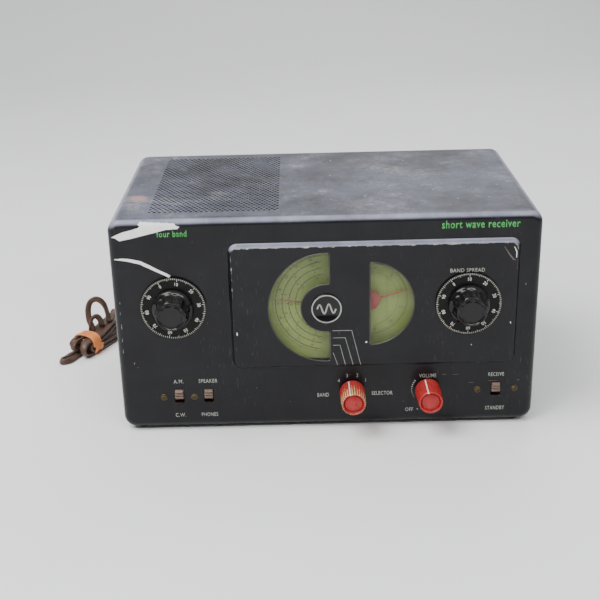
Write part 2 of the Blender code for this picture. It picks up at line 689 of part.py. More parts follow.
def make_dial_works():
    """Both dials' hands, drums, cords and variable capacitors."""
    main = (DIAL_X, DIAL_HEIGHT)
    spread = (SPREAD_DIAL_X, SPREAD_DIAL_HEIGHT)
    pointer("main_pointer", *main, DIAL_OUTER - 0.003, 173, 0.008)
    pointer("spread_pointer", *spread, SPREAD_DIAL_RADIUS - 0.003, 14, 0.0085)
    drum("main_drum", *main, MAIN_DRUM_DEPTH, MAIN_DRUM_RADIUS)
    drum("spread_drum", *spread, SPREAD_DRUM_DEPTH, SPREAD_DRUM_RADIUS)
    tuning, band_spread = (TUNING_X, TUNING_HEIGHT), (SPREAD_X, TUNING_HEIGHT)
    dial_cord("main_dial_cord", main, MAIN_DRUM_RADIUS, tuning, SHAFT_CORD_RADIUS, MAIN_DRUM_DEPTH)
    dial_cord("spread_dial_cord", spread, SPREAD_DRUM_RADIUS, band_spread, SHAFT_CORD_RADIUS, SPREAD_DRUM_DEPTH)
    gang("main", *main, MAIN_ROTOR_RADIUS, MAIN_PLATES)
    gang("spread", *spread, SPREAD_ROTOR_RADIUS, SPREAD_PLATES)


# --- Knobs and switches --------------------------------------------------------------------------------
def make_tuning(prefix, x, base):
    """A large knob with its numbered skirt, on a shaft in a bushing. Base is the panel's out position."""
    height = TUNING_HEIGHT
    bore = SHAFT_RADIUS + GAP
    skirt_back = base + SKIRT_LIFT
    skirt_front = skirt_back + SKIRT_THICK
    profile = [
        (SKIRT_RADIUS - 0.0004, skirt_front), (SKIRT_RADIUS, skirt_front - 0.0004),
        (SKIRT_RADIUS, skirt_back), (bore, skirt_back), (bore, skirt_front),
    ]
    turned(prefix + "_skirt", "black_bakelite", PANEL, (x, height, 0.0), profile, 40, closed=True)

    knob_back = skirt_front + GAP
    knob_front = base + BIG_KNOB_LENGTH
    shaft_front = knob_front - 0.005
    flange = [
        (0.0, knob_back + 0.004), (BIG_KNOB_RADIUS, knob_back + 0.004), (BIG_KNOB_FLANGE - 0.001, knob_back + 0.0030),
        (BIG_KNOB_FLANGE, knob_back + 0.0018), (BIG_KNOB_FLANGE, knob_back), (0.0, knob_back),
    ]
    knob = turned(prefix + "_knob", "black_bakelite", PANEL, (x, height, 0.0), flange, 32)
    points = 4 * BIG_KNOB_LOBES
    outline = []
    for i in range(points):
        angle = 2 * math.pi * i / points
        radius = BIG_KNOB_RADIUS - 0.0012 * abs(math.cos(angle * BIG_KNOB_LOBES / 2)) ** 3
        outline.append((radius * math.cos(angle), radius * math.sin(angle)))
    body_back = knob_back + 0.002
    body = plate(
        prefix + "_knob_body", None, PANEL, (x, height, (body_back + knob_front) / 2),
        [outline], knob_front - body_back,
    )
    join(knob, meshed(body))
    place = (x, height, 0.0)
    cut(knob, rod(prefix + "_knob_bore", None, PANEL, place, bore, knob_back - 0.001, shaft_front + GAP, 20))

    rod(prefix + "_shaft", "steel", PANEL, place, SHAFT_RADIUS, -(BRACKET_DEPTH + SHEET + 0.002), shaft_front)

    inner = base - WALL - GAP
    bushing = [
        (BUSHING_RADIUS, base), (BUSHING_RADIUS, inner), (0.0075, inner), (0.0075, inner - 0.002),
        (SHAFT_RADIUS + RUNNING, inner - 0.002), (SHAFT_RADIUS + RUNNING, base),
    ]
    turned(prefix + "_bushing", "brass", PANEL, (x, height, 0.0), bushing, 24, closed=True)


def red_knob(name, x, angle):
    """A small tapered knob with a sunk face; its index line points along angle."""
    back, front = RED_KNOB_LIFT, RED_KNOB_LENGTH
    bore = SHAFT_RADIUS + GAP
    edge = RED_KNOB_RADIUS * 0.90
    profile = [
        (0.0, front - 0.0012), (edge * 0.75, front - 0.0012), (edge * 0.80, front), (edge - 0.0006, front),
        (edge, front - 0.0008), (RED_KNOB_RADIUS, back), (bore, back), (bore, back + KNOB_GRIP), (0.0, back + KNOB_GRIP),
    ]
    turned(name, "red_plastic", PANEL, (x, KNOB_ROW, 0.0), profile, 30, turn=(0.0, 0.0, math.radians(angle)))


def make_selector():
    """The band selector: knob, shaft, and the wafer switch inside the chassis."""
    red_knob("selector_knob", SELECTOR_X, 16.7)
    place = (SELECTOR_X, KNOB_ROW, 0.0)
    end = CHASSIS_FRONT + SHEET + 0.022
    rod("selector_shaft", "steel", PANEL, place, SHAFT_RADIUS, -end, RED_KNOB_LIFT + KNOB_GRIP - GAP)
    back = CHASSIS_FRONT + SHEET + GAP
    profile = [
        (0.0060, -back), (0.0060, -back - 0.004), (0.0155, -back - 0.004), (0.0155, -back - 0.0065),
        (0.0060, -back - 0.0065), (0.0060, -back - 0.012), (0.0155, -back - 0.012), (0.0155, -back - 0.0145),
        (SHAFT_RADIUS + RUNNING, -back - 0.0145), (SHAFT_RADIUS + RUNNING, -back),
    ]
    turned("band_switch", "phenolic", PANEL, place, profile, 20, closed=True)


def make_volume():
    """The volume control with its power switch: knob, shaft and can."""
    red_knob("volume_knob", VOLUME_X, 14)
    place = (VOLUME_X, KNOB_ROW, 0.0)
    back = CHASSIS_FRONT + SHEET + GAP
    rod("volume_shaft", "steel", PANEL, place, SHAFT_RADIUS, -(back + 0.009), RED_KNOB_LIFT + KNOB_GRIP - GAP)
    profile = [
        (0.0, -back - 0.0095), (SHAFT_RADIUS + RUNNING, -back - 0.0095), (SHAFT_RADIUS + RUNNING, -back),
        (0.0120, -back), (0.0120, -back - 0.020), (0.0, -back - 0.020),
    ]
    turned("volume_control", "steel", PANEL, place, profile, 24)


def slider(name, x):
    """A slide switch's ridged button, drawn at the top of its travel."""
    middle = SWITCH_ROW + SLIDER_THROW / 2
    half = SLIDER_HEIGHT / 2
    inside = -(WALL + 0.003)
    ridge = SLIDER_OUT - 0.0012
    section = [
        (inside, -half), (SLIDER_OUT, -half), (SLIDER_OUT, -half + 0.0016), (ridge, -half + 0.0026),
        (ridge, half - 0.0026), (SLIDER_OUT, half - 0.0016), (SLIDER_OUT, half), (inside, half),
    ]
    # The section lies in the out and height plane and is extruded across the slot.
    turn = (0.0, -math.pi / 2, 0.0)
    plate(name, "brown_plastic", PANEL, (x, middle, 0.0), [section], SLIDER_WIDTH, turn)


def switch_body(name, low_x, high_x, wells):
    """A switch frame behind the panel with an open well behind each slot."""
    front = -(WALL + GAP)
    body = span_box(
        name, "phenolic", PANEL,
        (low_x, SWITCH_ROW - SLOT_HEIGHT / 2 - 0.002, front - SWITCH_DEPTH),
        (high_x, SWITCH_ROW + SLOT_HEIGHT / 2 + 0.002, front),
    )
    for i, x in enumerate(wells):
        size = (SLIDER_WIDTH + 4 * GAP, SLIDER_HEIGHT + SLIDER_THROW + 4 * GAP, 0.012)
        cut(body, box(f"{name}_well_{i}", None, PANEL, (x, SWITCH_ROW, front), size))


def make_switches():
    """Three slide switches: two side by side at the left and one at the right."""
    sliders = (("mode_slider", MODE_X), ("speaker_slider", SPEAKER_SWITCH_X), ("standby_slider", STANDBY_X))
    for name, x in sliders:
        slider(name, x)
    half = SLIDER_WIDTH / 2 + 0.003
    left = MODE_X - SCREW_PITCH / 2 - 0.004
    switch_body("left_switches", left, SPEAKER_SWITCH_X + half, (MODE_X, SPEAKER_SWITCH_X))
    edge = SCREW_PITCH / 2 + 0.004
    switch_body("right_switch", STANDBY_X - edge, STANDBY_X + edge, (STANDBY_X,))


# --- Chassis -------------------------------------------------------------------------------------------
def make_chassis():
    """The chassis pan, open below, with holes for the two controls."""
    side = WIDTH / 2 - CHASSIS_SIDE_ROOM
    rear = DEPTH - CHASSIS_REAR_ROOM
    low, high = (-side, CHASSIS_FRONT, CHASSIS_BOTTOM), (side, rear, CHASSIS_TOP)
    chassis = span_box("chassis", "steel", FLOOR, low, high)
    cut(chassis, span_box(
        "chassis_inside", None, FLOOR,
        (low[0] + SHEET, low[1] + SHEET, low[2] - SHEET), (high[0] - SHEET, high[1] - SHEET, high[2] - SHEET),
    ))
    for name, x in (("selector_apron_hole", SELECTOR_X), ("volume_apron_hole", VOLUME_X)):
        place = (x, KNOB_ROW, 0.0)
        ends = (-CHASSIS_FRONT - 0.004, -CHASSIS_FRONT + 0.004)
        cut(chassis, rod(name, None, PANEL, place, SHAFT_RADIUS + GAP, *ends, 20))


def glass_tube(name, x, depth, length):
    """A miniature valve: its moulded socket, a straight glass envelope and the tip."""
    base = CHASSIS_TOP + GAP
    dome = [(TUBE_RADIUS * math.sin(a), TUBE_RADIUS * 0.7 * math.cos(a)) for a in (0.5, 1.1, math.pi / 2)]
    top = base + length - TUBE_RADIUS * 0.7 - 0.003
    profile = [(0.0, base + length), (0.0015, base + length - 0.0015)]
    profile += [(radius, top + rise) for radius, rise in dome]
    profile += [(TUBE_RADIUS, base + 0.008), (0.0110, base + 0.006), (0.0110, base), (0.0, base)]
    turned(name, "tube_glass", FLOOR, (x, depth, 0.0), profile, 16)


def make_chassis_parts():
    """The valves, the tuned transformers, the output transformer and the filter capacitor."""
    back_row = DEPTH - 0.037
    valves = (
        ("converter_tube", DIAL_X + 0.024, GANG_DEPTH + 0.045, 0.053),
        ("amplifier_tube", DIAL_X + 0.038, back_row, 0.053),
        ("detector_tube", DIAL_X - 0.012, back_row, 0.053),
        ("output_tube", DIAL_X + 0.092, back_row, 0.064),
        ("rectifier_tube", DIAL_X + 0.126, back_row, 0.064),
    )
    for name, x, depth, length in valves:
        glass_tube(name, x, depth, length)
    base = CHASSIS_TOP + GAP
    cans = (
        ("first_transformer", DIAL_X + 0.064, GANG_DEPTH + 0.052),
        ("second_transformer", DIAL_X + 0.013, back_row + 0.012),
    )
    half = CAN_WIDTH / 2
    for name, x, depth in cans:
        low, high = (x - half, depth - half, base), (x + half, depth + half, base + CAN_HEIGHT)
        span_box(name, "aluminium", FLOOR, low, high, CAN_CORNER)
    x, depth = DIAL_X + 0.122, GANG_DEPTH + 0.048
    low, high = (x - 0.019, depth - 0.008, base), (x + 0.019, depth + 0.008, base + 0.034)
    transformer = span_box("output_transformer", "steel", FLOOR, low, high)
    low, high = (x - 0.011, depth - 0.015, base + 0.007), (x + 0.011, depth + 0.015, base + 0.027)
    join(transformer, span_box("output_coil", None, FLOOR, low, high, 0.003))
    place = (DIAL_X + 0.094, GANG_DEPTH + 0.075, 0.0)
    rod("filter_capacitor", "aluminium", FLOOR, place, CAPACITOR_RADIUS, base, base + CAPACITOR_HEIGHT, 20)


def make_speaker():
    """The loudspeaker under the top's perforations, facing up: basket with magnet, and paper cone."""
    top = HEIGHT - WALL - GAP
    place = (SPEAKER_X, SPEAKER_MIDDLE, top - SPEAKER_DEPTH)
    rim, inner, lift = SPEAKER_RADIUS, SPEAKER_RADIUS - 0.0115, SPEAKER_DEPTH
    floor = lift - 0.026
    basket = [
        (0.0, floor), (0.024, floor), (inner, lift - 0.0015), (inner, lift), (rim, lift), (rim, lift - 0.0017),
        (inner + 0.0025, lift - 0.003), (0.0262, floor - 0.0015), (0.020, floor - 0.0015), (0.020, 0.0), (0.0, 0.0),
    ]
    turned("speaker_basket", "steel", FLOOR, place, basket, 32)
    cone = [
        (0.0, floor + 0.0085), (0.009, floor + 0.0055), (inner - 0.0015, lift - 0.0020), (inner - 0.0015, lift - 0.0026),
        (0.011, floor + 0.0012), (0.0, floor + 0.0012),
    ]
    turned("speaker_cone", "paper_cone", FLOOR, place, cone, 32)


# --- Power cord ----------------------------------------------------------------------------------------
def make_cord():
    """The lead behind the set, its tied hank beside the cabinet, and the plug."""
    lead_start = DEPTH - 0.187
    lead = [(x, depth + lead_start, height) for x, depth, height in LEAD_POINTS]
    tail = [(x, depth + lead_start, height) for x, depth, height in TAIL_POINTS]
    tube("power_cord", "brown_cord", FLOOR, smooth_line(lead, 0.010), CORD_WIDTH / 2)
    tube("cord_tail", "brown_cord", FLOOR, smooth_line(tail, 0.012), CORD_WIDTH / 2)

    # The hank's outline stands in the upright plane through its length, and is extruded across it.
    end = HANK_LENGTH
    outline = [(0.004, 0.0003)] + [(end - 0.004, 0.0003)] + arc((end - 0.007, 0.0075), 0.007, -45, 60, 3)
    outline += [(0.070, 0.020)] + arc((0.056, 0.038), 0.009, 0, 180, 6) + [(0.034, 0.026)]
    outline += arc((0.007, 0.0075), 0.007, 110, 225, 3)
    turn = (math.pi / 2, 0.0, HANK_HEADING)
    place = HANK_FRONT + Vector((0.0, lead_start, 0.0))
    plate("cord_hank", "brown_cord", FLOOR, place, [outline], HANK_WIDTH, turn)

    place = PLUG_PLACE + Vector((0.0, lead_start, 0.0))
    plug = box("plug", "black_rubber", FLOOR, place, PLUG_SIZE, 0.003)
    for i, offset in enumerate((-0.00635, 0.00635)):
        blade = Vector((PLUG_SIZE.x / 2 + 0.0075, offset, 0.0))
        join(plug, box(f"blade_{i}", None, FLOOR, place + blade, (0.018, 0.0015, 0.0063)))


make_cabinet()
make_bottom()
make_feet()
make_back()
make_dials()
make_dial_works()
make_tuning("tuning", TUNING_X, 0.0)
make_tuning("band_spread", SPREAD_X, RAISE)
make_selector()
make_volume()
make_switches()
make_chassis()
make_chassis_parts()
make_speaker()
make_cord()
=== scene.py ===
"""The finished looks of a table-top shortwave receiver with its tied mains lead, on a pale studio floor.

Metres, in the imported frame: +X right as seen from the front, +Y to the back, +Z up. A place on the front is
given as (x, height, out), with out measured forwards from the flat steel panel. Surfaces are numpy grids and
profiles carried along outlines; every function says its shape in words.
"""

import json
import math

import bmesh
import bpy
import numpy as np
from mathutils import Matrix, Vector
from mathutils.geometry import tessellate_polygon


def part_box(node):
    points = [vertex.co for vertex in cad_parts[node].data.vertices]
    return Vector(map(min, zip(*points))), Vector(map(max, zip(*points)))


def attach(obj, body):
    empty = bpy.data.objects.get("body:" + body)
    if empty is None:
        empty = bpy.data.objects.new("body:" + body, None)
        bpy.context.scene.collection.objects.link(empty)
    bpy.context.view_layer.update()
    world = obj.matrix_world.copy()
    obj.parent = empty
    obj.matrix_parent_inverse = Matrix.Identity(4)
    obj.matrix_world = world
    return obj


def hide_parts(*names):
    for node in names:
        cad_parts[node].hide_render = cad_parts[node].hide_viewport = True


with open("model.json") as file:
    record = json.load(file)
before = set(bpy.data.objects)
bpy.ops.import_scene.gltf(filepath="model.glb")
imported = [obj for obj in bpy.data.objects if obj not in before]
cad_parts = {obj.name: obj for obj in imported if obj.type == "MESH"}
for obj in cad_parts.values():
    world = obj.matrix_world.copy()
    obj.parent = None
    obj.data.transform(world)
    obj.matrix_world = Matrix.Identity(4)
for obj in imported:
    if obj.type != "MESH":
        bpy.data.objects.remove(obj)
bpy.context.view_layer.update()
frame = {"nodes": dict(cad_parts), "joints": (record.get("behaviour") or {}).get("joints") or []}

# --- Places and sizes taken from the frame -------------------------------------------------------------
AXES = {joint["name"]: joint.get("pos_m") for joint in frame["joints"]}


def axis_place(joint):
    """The (x, height) of a turning joint's axis on the front."""
    x, _, height = AXES[joint]
    return x, height


RAISE = 0.004  # how far the dial panel stands out of the flat front
WALL = 0.0012  # the cabinet's sheet steel
CORNER = 0.010  # the cabinet's corners, seen from the front
ROLL = 0.006  # the round edge between the front and the sides
LIP = 0.0008  # the flat strip beside a fold or a corner
CAB_LOW, CAB_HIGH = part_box("cabinet")
PANEL_Y = CAB_LOW.y + RAISE
BACK_Y = CAB_HIGH.y
MAIN = axis_place("main_gang_turn")
TUNING = axis_place("tuning_turn")
BAND_SPREAD = axis_place("band_spread_turn")
SELECTOR = axis_place("selector_turn")
VOLUME = axis_place("volume_turn")

# The dial panel, and the windows in it: a half ring for the main dial and a half disc for the band spread.
RAISED_LOW = (MAIN[0] - 0.0745, 0.0545)
RAISED_HIGH = (CAB_HIGH.x - 0.016, CAB_HIGH.z - 0.020)
RAISED_CORNER = 0.008
MAIN_OUTER, MAIN_INNER, MAIN_EDGE = 0.0446, 0.0195, 0.0027
SPREAD_RADIUS = 0.0340
DIAL_OUT = -0.0075  # the dial card's face
POINTER_BACK, POINTER_FRONT = -0.0054, -0.0048
POINTER_CLEARANCE = 0.0012  # between a pointer's tip and its window's edge
PRINT = 0.00005  # how far ink stands off the face that it is on

# Holes for the shafts, and the heights of what stands on them.
SHAFT_HOLE, SMALL_SHAFT_HOLE = 0.0051, 0.0036
SKIRT_BASE, KNOB_BASE, KNOB_TOP = 0.0012, 0.0025, 0.0195
SWITCH_HEIGHT = 0.0308
SWITCH_PLACES = (TUNING[0] - 0.0001, TUNING[0] + 0.0232, CAB_HIGH.x - 0.0302)
COVER_OUT = -(BACK_Y - PANEL_Y - 0.002)  # the back cover's outer face

# The punched field in the top.
HOLE_PITCH = 0.00397
HOLE_RADIUS = 0.00118
GRILLE_LOW = (-0.1351, PANEL_Y + 0.017)
GRILLE_COLUMNS, GRILLE_ROWS = 25, 46

SHARP = 40  # degrees between two faces, past which their shared edge stays sharp
MERGE = 0.000002  # points closer than this are one


# --- Building meshes -----------------------------------------------------------------------------------
def front(x, height, out):
    """Points on the front: (x, height, out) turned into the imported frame, as one array."""
    x, height, out = np.broadcast_arrays(x, height, out)
    return np.stack([x, PANEL_Y - out, height], axis=-1).astype(float)


def grid_faces(rows, columns, close_columns=False, close_rows=False):
    """The quads of a rows by columns grid of points, wrapped round where it closes on itself."""
    r = np.arange(rows if close_rows else rows - 1)[:, None]
    c = np.arange(columns if close_columns else columns - 1)[None, :]
    r2, c2 = (r + 1) % rows, (c + 1) % columns
    quads = np.stack([r * columns + c, r * columns + c2, r2 * columns + c2, r2 * columns + c], axis=-1)
    return quads.reshape(-1, 4)


class Skin:
    """Points and faces gathered from several patches, whose shared edges are merged at the end."""

    def __init__(self):
        self.points, self.faces, self.marks, self.count = [], [], [], 0

    def add(self, points, faces, marks=0.0):
        """A patch: its points, its faces numbered from 0, and a wear mark for each point or for them all."""
        points = np.asarray(points, float).reshape(-1, 3)
        self.points.append(points)
        self.marks.append(np.broadcast_to(np.ravel(marks), len(points)))
        self.faces.extend([[int(i) + self.count for i in face] for face in faces])
        self.count += len(points)

    def loft(self, rings, marks=0.0):
        """Quads between closed rings of equally many points, with a wear mark for each ring."""
        rings = np.asarray(rings, float)
        rows, columns = rings.shape[:2]
        self.add(rings, grid_faces(rows, columns, True), np.repeat(np.broadcast_to(marks, rows), columns))

    def fill(self, loops, lift):
        """A flat patch inside the first loop and outside the others; lift turns 2-D points into 3-D."""
        flat = [[Vector((p[0], p[1], 0.0)) for p in loop] for loop in loops]
        points = np.concatenate([np.asarray(loop, float) for loop in loops])
        self.add(lift(points), tessellate_polygon(flat))

    def joined(self):
        """All the points as one array, and all the faces."""
        return np.concatenate(self.points), self.faces


def set_wear(mesh, marks):
    """Stores how rubbed each point is, for a material to read; on the dial panel's top bevel the marks also stand
    for a painted highlight.
    """
    layer = mesh.attributes.new("wear", "FLOAT", "POINT")
    layer.data.foreach_set("value", np.asarray(marks, np.float32))


def piece(name, points, faces, look, body="receiver", sharp=SHARP, recalc=True, marks=None):
    """A mesh object with its doubles merged, its faces turned outwards and its sharp edges kept."""
    mesh = bpy.data.meshes.new(name)
    rows = np.asarray(points, float).reshape(-1, 3)
    mesh.from_pydata(rows.tolist(), [], [list(map(int, face)) for face in faces])
    if marks is not None:
        set_wear(mesh, marks)
    work = bmesh.new()
    work.from_mesh(mesh)
    bmesh.ops.remove_doubles(work, verts=work.verts, dist=MERGE)
    if recalc:
        bmesh.ops.recalc_face_normals(work, faces=work.faces)
    work.to_mesh(mesh)
    work.free()
    mesh.shade_smooth()
    mesh.set_sharp_from_angle(angle=math.radians(sharp))
    part = bpy.data.objects.new(name, mesh)
    bpy.context.scene.collection.objects.link(part)
    mesh.materials.append(look)
    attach(part, body)
    return part


def thicken(part, wall, offset=-1.0):
    """Gives an open skin its wall, and keeps the wall's own edges sharp."""
    solid = part.modifiers.new("wall", "SOLIDIFY")
    solid.thickness = wall
    solid.offset = offset
    solid.use_even_offset = False
    bpy.context.view_layer.update()
    shape = part.evaluated_get(bpy.context.evaluated_depsgraph_get())
    mesh = bpy.data.meshes.new_from_object(shape)
    part.modifiers.clear()
    part.data = mesh
    mesh.shade_smooth()
    mesh.set_sharp_from_angle(angle=math.radians(SHARP))
    return part


def arc(middle, radius, start, end, steps):
    """Points on an arc, both ends included, angles in degrees from +X towards up."""
    a = np.radians(np.linspace(start, end, steps + 1))
    return np.stack([middle[0] + radius * np.cos(a), middle[1] + radius * np.sin(a)], axis=-1)


def circle(middle, radius, count):
    """Points evenly round a circle."""
    return arc(middle, radius, 0, 360 - 360 / count, count - 1)


def round_corners(low, high, radius, steps):
    """A rounded rectangle's corners, anticlockwise from the upper right, as (first angle, points) each."""
    (x0, y0), (x1, y1) = low, high
    middles = ((x1 - radius, y1 - radius), (x0 + radius, y1 - radius),
               (x0 + radius, y0 + radius), (x1 - radius, y0 + radius))
    return [(90 * i, arc(middle, radius, 90 * i, 90 * i + 90, steps)) for i, middle in enumerate(middles)]


def round_outline(low, high, radius, steps):
    """A rectangle with round corners."""
    return np.concatenate([turn for _, turn in round_corners(low, high, radius, steps)])


def lead_outline(low, high, radius, inset, lead=LIP, steps=8):
    """A rounded rectangle drawn in by inset, with a point just before and just after each corner.

    The added points keep the flat sides flat. The outline has equally many points for any inset.
    """
    inner_low, inner_high = np.asarray(low) + inset, np.asarray(high) - inset
    rows = []
    for first, turn in round_corners(inner_low, inner_high, max(radius - inset, 0.0006), steps):
        start, end = math.radians(first), math.radians(first + 90)
        before = turn[0] - lead * np.array([-math.sin(start), math.cos(start)])
        after = turn[-1] + lead * np.array([-math.sin(end), math.cos(end)])
        rows.append(np.concatenate([before[None], turn, after[None]]))
    return np.concatenate(rows)


def bends(points):
    """The angle in degrees by which a closed outline turns at each of its points."""
    a = points - np.roll(points, 1, axis=0)
    b = np.roll(points, -1, axis=0) - points
    return np.degrees(np.abs(np.arctan2(a[:, 0] * b[:, 1] - a[:, 1] * b[:, 0], (a * b).sum(1))))


def soften(outline, reach=0.002, turn=40, steps=5):
    """The outline with a parabola in place of each sharp corner, from reach before it to reach after."""
    points = np.asarray(outline, float)
    sharp = bends(points) > turn
    t = np.linspace(0, 1, steps + 1)[:, None]
    kept = []
    for i, here in enumerate(points):
        if not sharp[i]:
            if all(np.linalg.norm(here - corner) >= reach for corner in points[sharp]):
                kept.append(here)
            continue
        a, b = here - points[i - 1], points[(i + 1) % len(points)] - here
        start = here - a / np.linalg.norm(a) * reach
        end = here + b / np.linalg.norm(b) * reach
        kept.extend((1 - t) ** 2 * start + 2 * t * (1 - t) * here + t ** 2 * end)
    return np.array(kept)


def lathe(name, look, place, profile, body="receiver", steps=96, upright=False, ribs=None, sharp=SHARP):
    """A turned surface: the profile of (radius, along) swept round its axis.

    The axis points out of the front at place (x, height), or up at place (x, y) where upright. ribs, a
    function of angle and position along the profile, is added to the radius. The profile's first and last
    rows lie on the axis.
    """
    profile = np.asarray(profile, float)
    radius, along = profile[:, 0][:, None], profile[:, 1][:, None]
    angle = np.linspace(0, 2 * math.pi, steps, endpoint=False)[None, :]
    if ribs is not None:
        radius = np.maximum(radius + ribs(angle, along), 0.0)
    u, v = radius * np.cos(angle), radius * np.sin(angle)
    along = np.broadcast_to(along, u.shape)
    if upright:
        points = np.stack([place[0] + u, place[1] + v, along], axis=-1)
    else:
        points = front(place[0] + u, place[1] + v, along)
    return piece(name, points, grid_faces(len(profile), steps, True), look, body, sharp)


def tube_rings(path, width, height, across, steps=12):
    """Rings round a path: a round-cornered oval, width along the across vectors and height square to them.

    The oval is (cos, sin) with each raised to a power below 1, which squares it off.
    """
    path = np.asarray(path, float)
    along = np.gradient(path, axis=0)
    along /= np.linalg.norm(along, axis=1)[:, None]
    side = across - (across * along).sum(1)[:, None] * along
    side /= np.linalg.norm(side, axis=1)[:, None]
    up = np.cross(along, side)
    a = np.linspace(0, 2 * math.pi, steps, endpoint=False)
    c, s = np.cos(a), np.sin(a)
    power = 0.7
    u = np.sign(c) * np.abs(c) ** power * width / 2
    v = np.sign(s) * np.abs(s) ** power * height / 2
    return path[:, None] + u[None, :, None] * side[:, None] + v[None, :, None] * up[:, None]


def capped(rings):
    """A closed tube's points and faces from its rings, with a middle point at each end."""
    rows, steps = rings.shape[:2]
    points = np.concatenate([rings.reshape(-1, 3), rings[0].mean(0)[None], rings[-1].mean(0)[None]])
    faces = grid_faces(rows, steps, True).tolist()
    first, last = rows * steps, rows * steps + 1
    for j in range(steps):
        k = (j + 1) % steps
        faces.append([first, k, j])
        faces.append([last, (rows - 1) * steps + j, (rows - 1) * steps + k])
    return points, faces


def smooth_path(knots, spacing):
    """Points a spacing apart on a Catmull-Rom curve, one cubic between each two knots."""
    knots = np.asarray(knots, float)
    knots = np.concatenate([[2 * knots[0] - knots[1]], knots, [2 * knots[-1] - knots[-2]]])
    fine = []
    for a, b, c, d in zip(knots[:-3], knots[1:-2], knots[2:-1], knots[3:]):
        t = np.linspace(0, 1, 24, endpoint=False)[:, None]
        square, cube = 2 * a - 5 * b + 4 * c - d, 3 * b - a - 3 * c + d
        fine.append(b + (c - a) * t / 2 + square * t ** 2 / 2 + cube * t ** 3 / 2)
    line = np.concatenate(fine + [knots[-2][None]])
    length = np.concatenate([[0], np.cumsum(np.linalg.norm(np.diff(line, axis=0), axis=1))])
    even = np.linspace(0, length[-1], int(length[-1] / spacing) + 1)
    return np.stack([np.interp(even, length, line[:, k]) for k in range(3)], axis=-1)


LETTER_SPACING = 1.12
LETTER_WIDTH = 0.85  # against its height, where no width is asked for


class Print:
    """Flat marks and letters on one flat face, gathered into one thin piece."""

    def __init__(self, name, look, body, out):
        self.name, self.look, self.body, self.out = name, look, body, out
        self.skin = Skin()

    def polygon(self, loop):
        """One flat mark."""
        loop = np.asarray(loop)
        self.skin.add(front(loop[:, 0], loop[:, 1], self.out), [list(range(len(loop)))])

    def stroke(self, a, b, width):
        """A straight line of the given width."""
        a, b = np.asarray(a, float), np.asarray(b, float)
        side = np.array([-(b - a)[1], (b - a)[0]]) / np.linalg.norm(b - a) * width / 2
        self.polygon([a - side, b - side, b + side, a + side])

    def curve(self, middle, radius, start, end, width, steps=64):
        """A line of the given width along an arc."""
        inner = arc(middle, radius - width / 2, start, end, steps)
        outer = arc(middle, radius + width / 2, start, end, steps)
        flat = np.stack([inner, outer])
        self.skin.add(front(flat[..., 0], flat[..., 1], self.out), grid_faces(2, steps + 1))

    def text(self, words, x, height, size, width=None, angle=0.0, weight=0.0):
        """Words centred on a place, size high over all, squeezed to width and turned clockwise by angle."""
        curve = bpy.data.curves.new("words", "FONT")
        curve.body = words
        curve.align_x, curve.align_y = "CENTER", "CENTER"
        curve.resolution_u = 3
        curve.offset = weight
        curve.space_character = LETTER_SPACING
        holder = bpy.data.objects.new("words", curve)
        bpy.context.scene.collection.objects.link(holder)
        bpy.context.view_layer.update()
        mesh = bpy.data.meshes.new_from_object(holder.evaluated_get(bpy.context.evaluated_depsgraph_get()))
        points = np.zeros(len(mesh.vertices) * 3)
        mesh.vertices.foreach_get("co", points)
        points = points.reshape(-1, 3)[:, :2]
        faces = [list(face.vertices) for face in mesh.polygons]
        bpy.data.objects.remove(holder)
        bpy.data.meshes.remove(mesh)
        low, high = points.min(0), points.max(0)
        points = points - (low + high) / 2
        tall = size / (high - low)[1]
        wide = width / (high - low)[0] if width else tall * LETTER_WIDTH
        points = points * [wide, tall]
        a = math.radians(-angle)
        turned = points @ np.array([[math.cos(a), math.sin(a)], [-math.sin(a), math.cos(a)]])
        self.skin.add(front(x + turned[:, 0], height + turned[:, 1], self.out), faces)

    def done(self, back=False):
        """The finished piece, as thin as ink, facing forwards, or turned about the upright axis for the back."""
        points = np.concatenate(self.skin.points)
        if back:
            points[:, 0] *= -1
        part = piece(self.name, points, self.skin.faces, self.look, self.body, recalc=False)
        work = bmesh.new()
        work.from_mesh(part.data)
        for face in work.faces:
            if (face.normal.y > 0) != back:
                face.normal_flip()
        work.to_mesh(part.data)
        work.free()
        return thicken(part, PRINT * 0.8)


# --- Materials -----------------------------------------------------------------------------------------
def add(tree, kind, inputs=None, **settings):
    """A shader node with its settings; inputs are values, or sockets to link."""
    node = tree.nodes.new("ShaderNode" + kind)
    for name, value in settings.items():
        setattr(node, name, value)
    for key, value in (inputs or {}).items():
        if isinstance(value, bpy.types.NodeSocket):
            tree.links.new(value, node.inputs[key])
        else:
            node.inputs[key].default_value = value
    return node


def effect(name, inputs):
    """An empty node group with float inputs and one float output, for an effect that materials share."""
    tree = bpy.data.node_groups.new(name, "ShaderNodeTree")
    for title, value in inputs.items():
        socket = tree.interface.new_socket(name=title, in_out="INPUT", socket_type="NodeSocketFloat")
        socket.default_value = value
    tree.interface.new_socket(name="Value", in_out="OUTPUT", socket_type="NodeSocketFloat")
    source = tree.nodes.new("NodeGroupInput")
    place = add(tree, "TexCoord").outputs["Object"]
    return tree, source.outputs, place


def close_effect(tree, value):
    """Sends the value out of the group."""
    tree.links.new(value, tree.nodes.new("NodeGroupOutput").inputs["Value"])
    return tree


def times(tree, a, b, operation="MULTIPLY"):
    """Two values put together by one sum."""
    return add(tree, "Math", {0: a, 1: b}, operation=operation).outputs[0]


def ramp(tree, value, low, high, start=0.0, end=1.0):
    """The value mapped evenly from low..high to start..end, and held there outside it."""
    return add(tree, "MapRange", {0: value, 1: low, 2: high, 3: start, 4: end}).outputs[0]


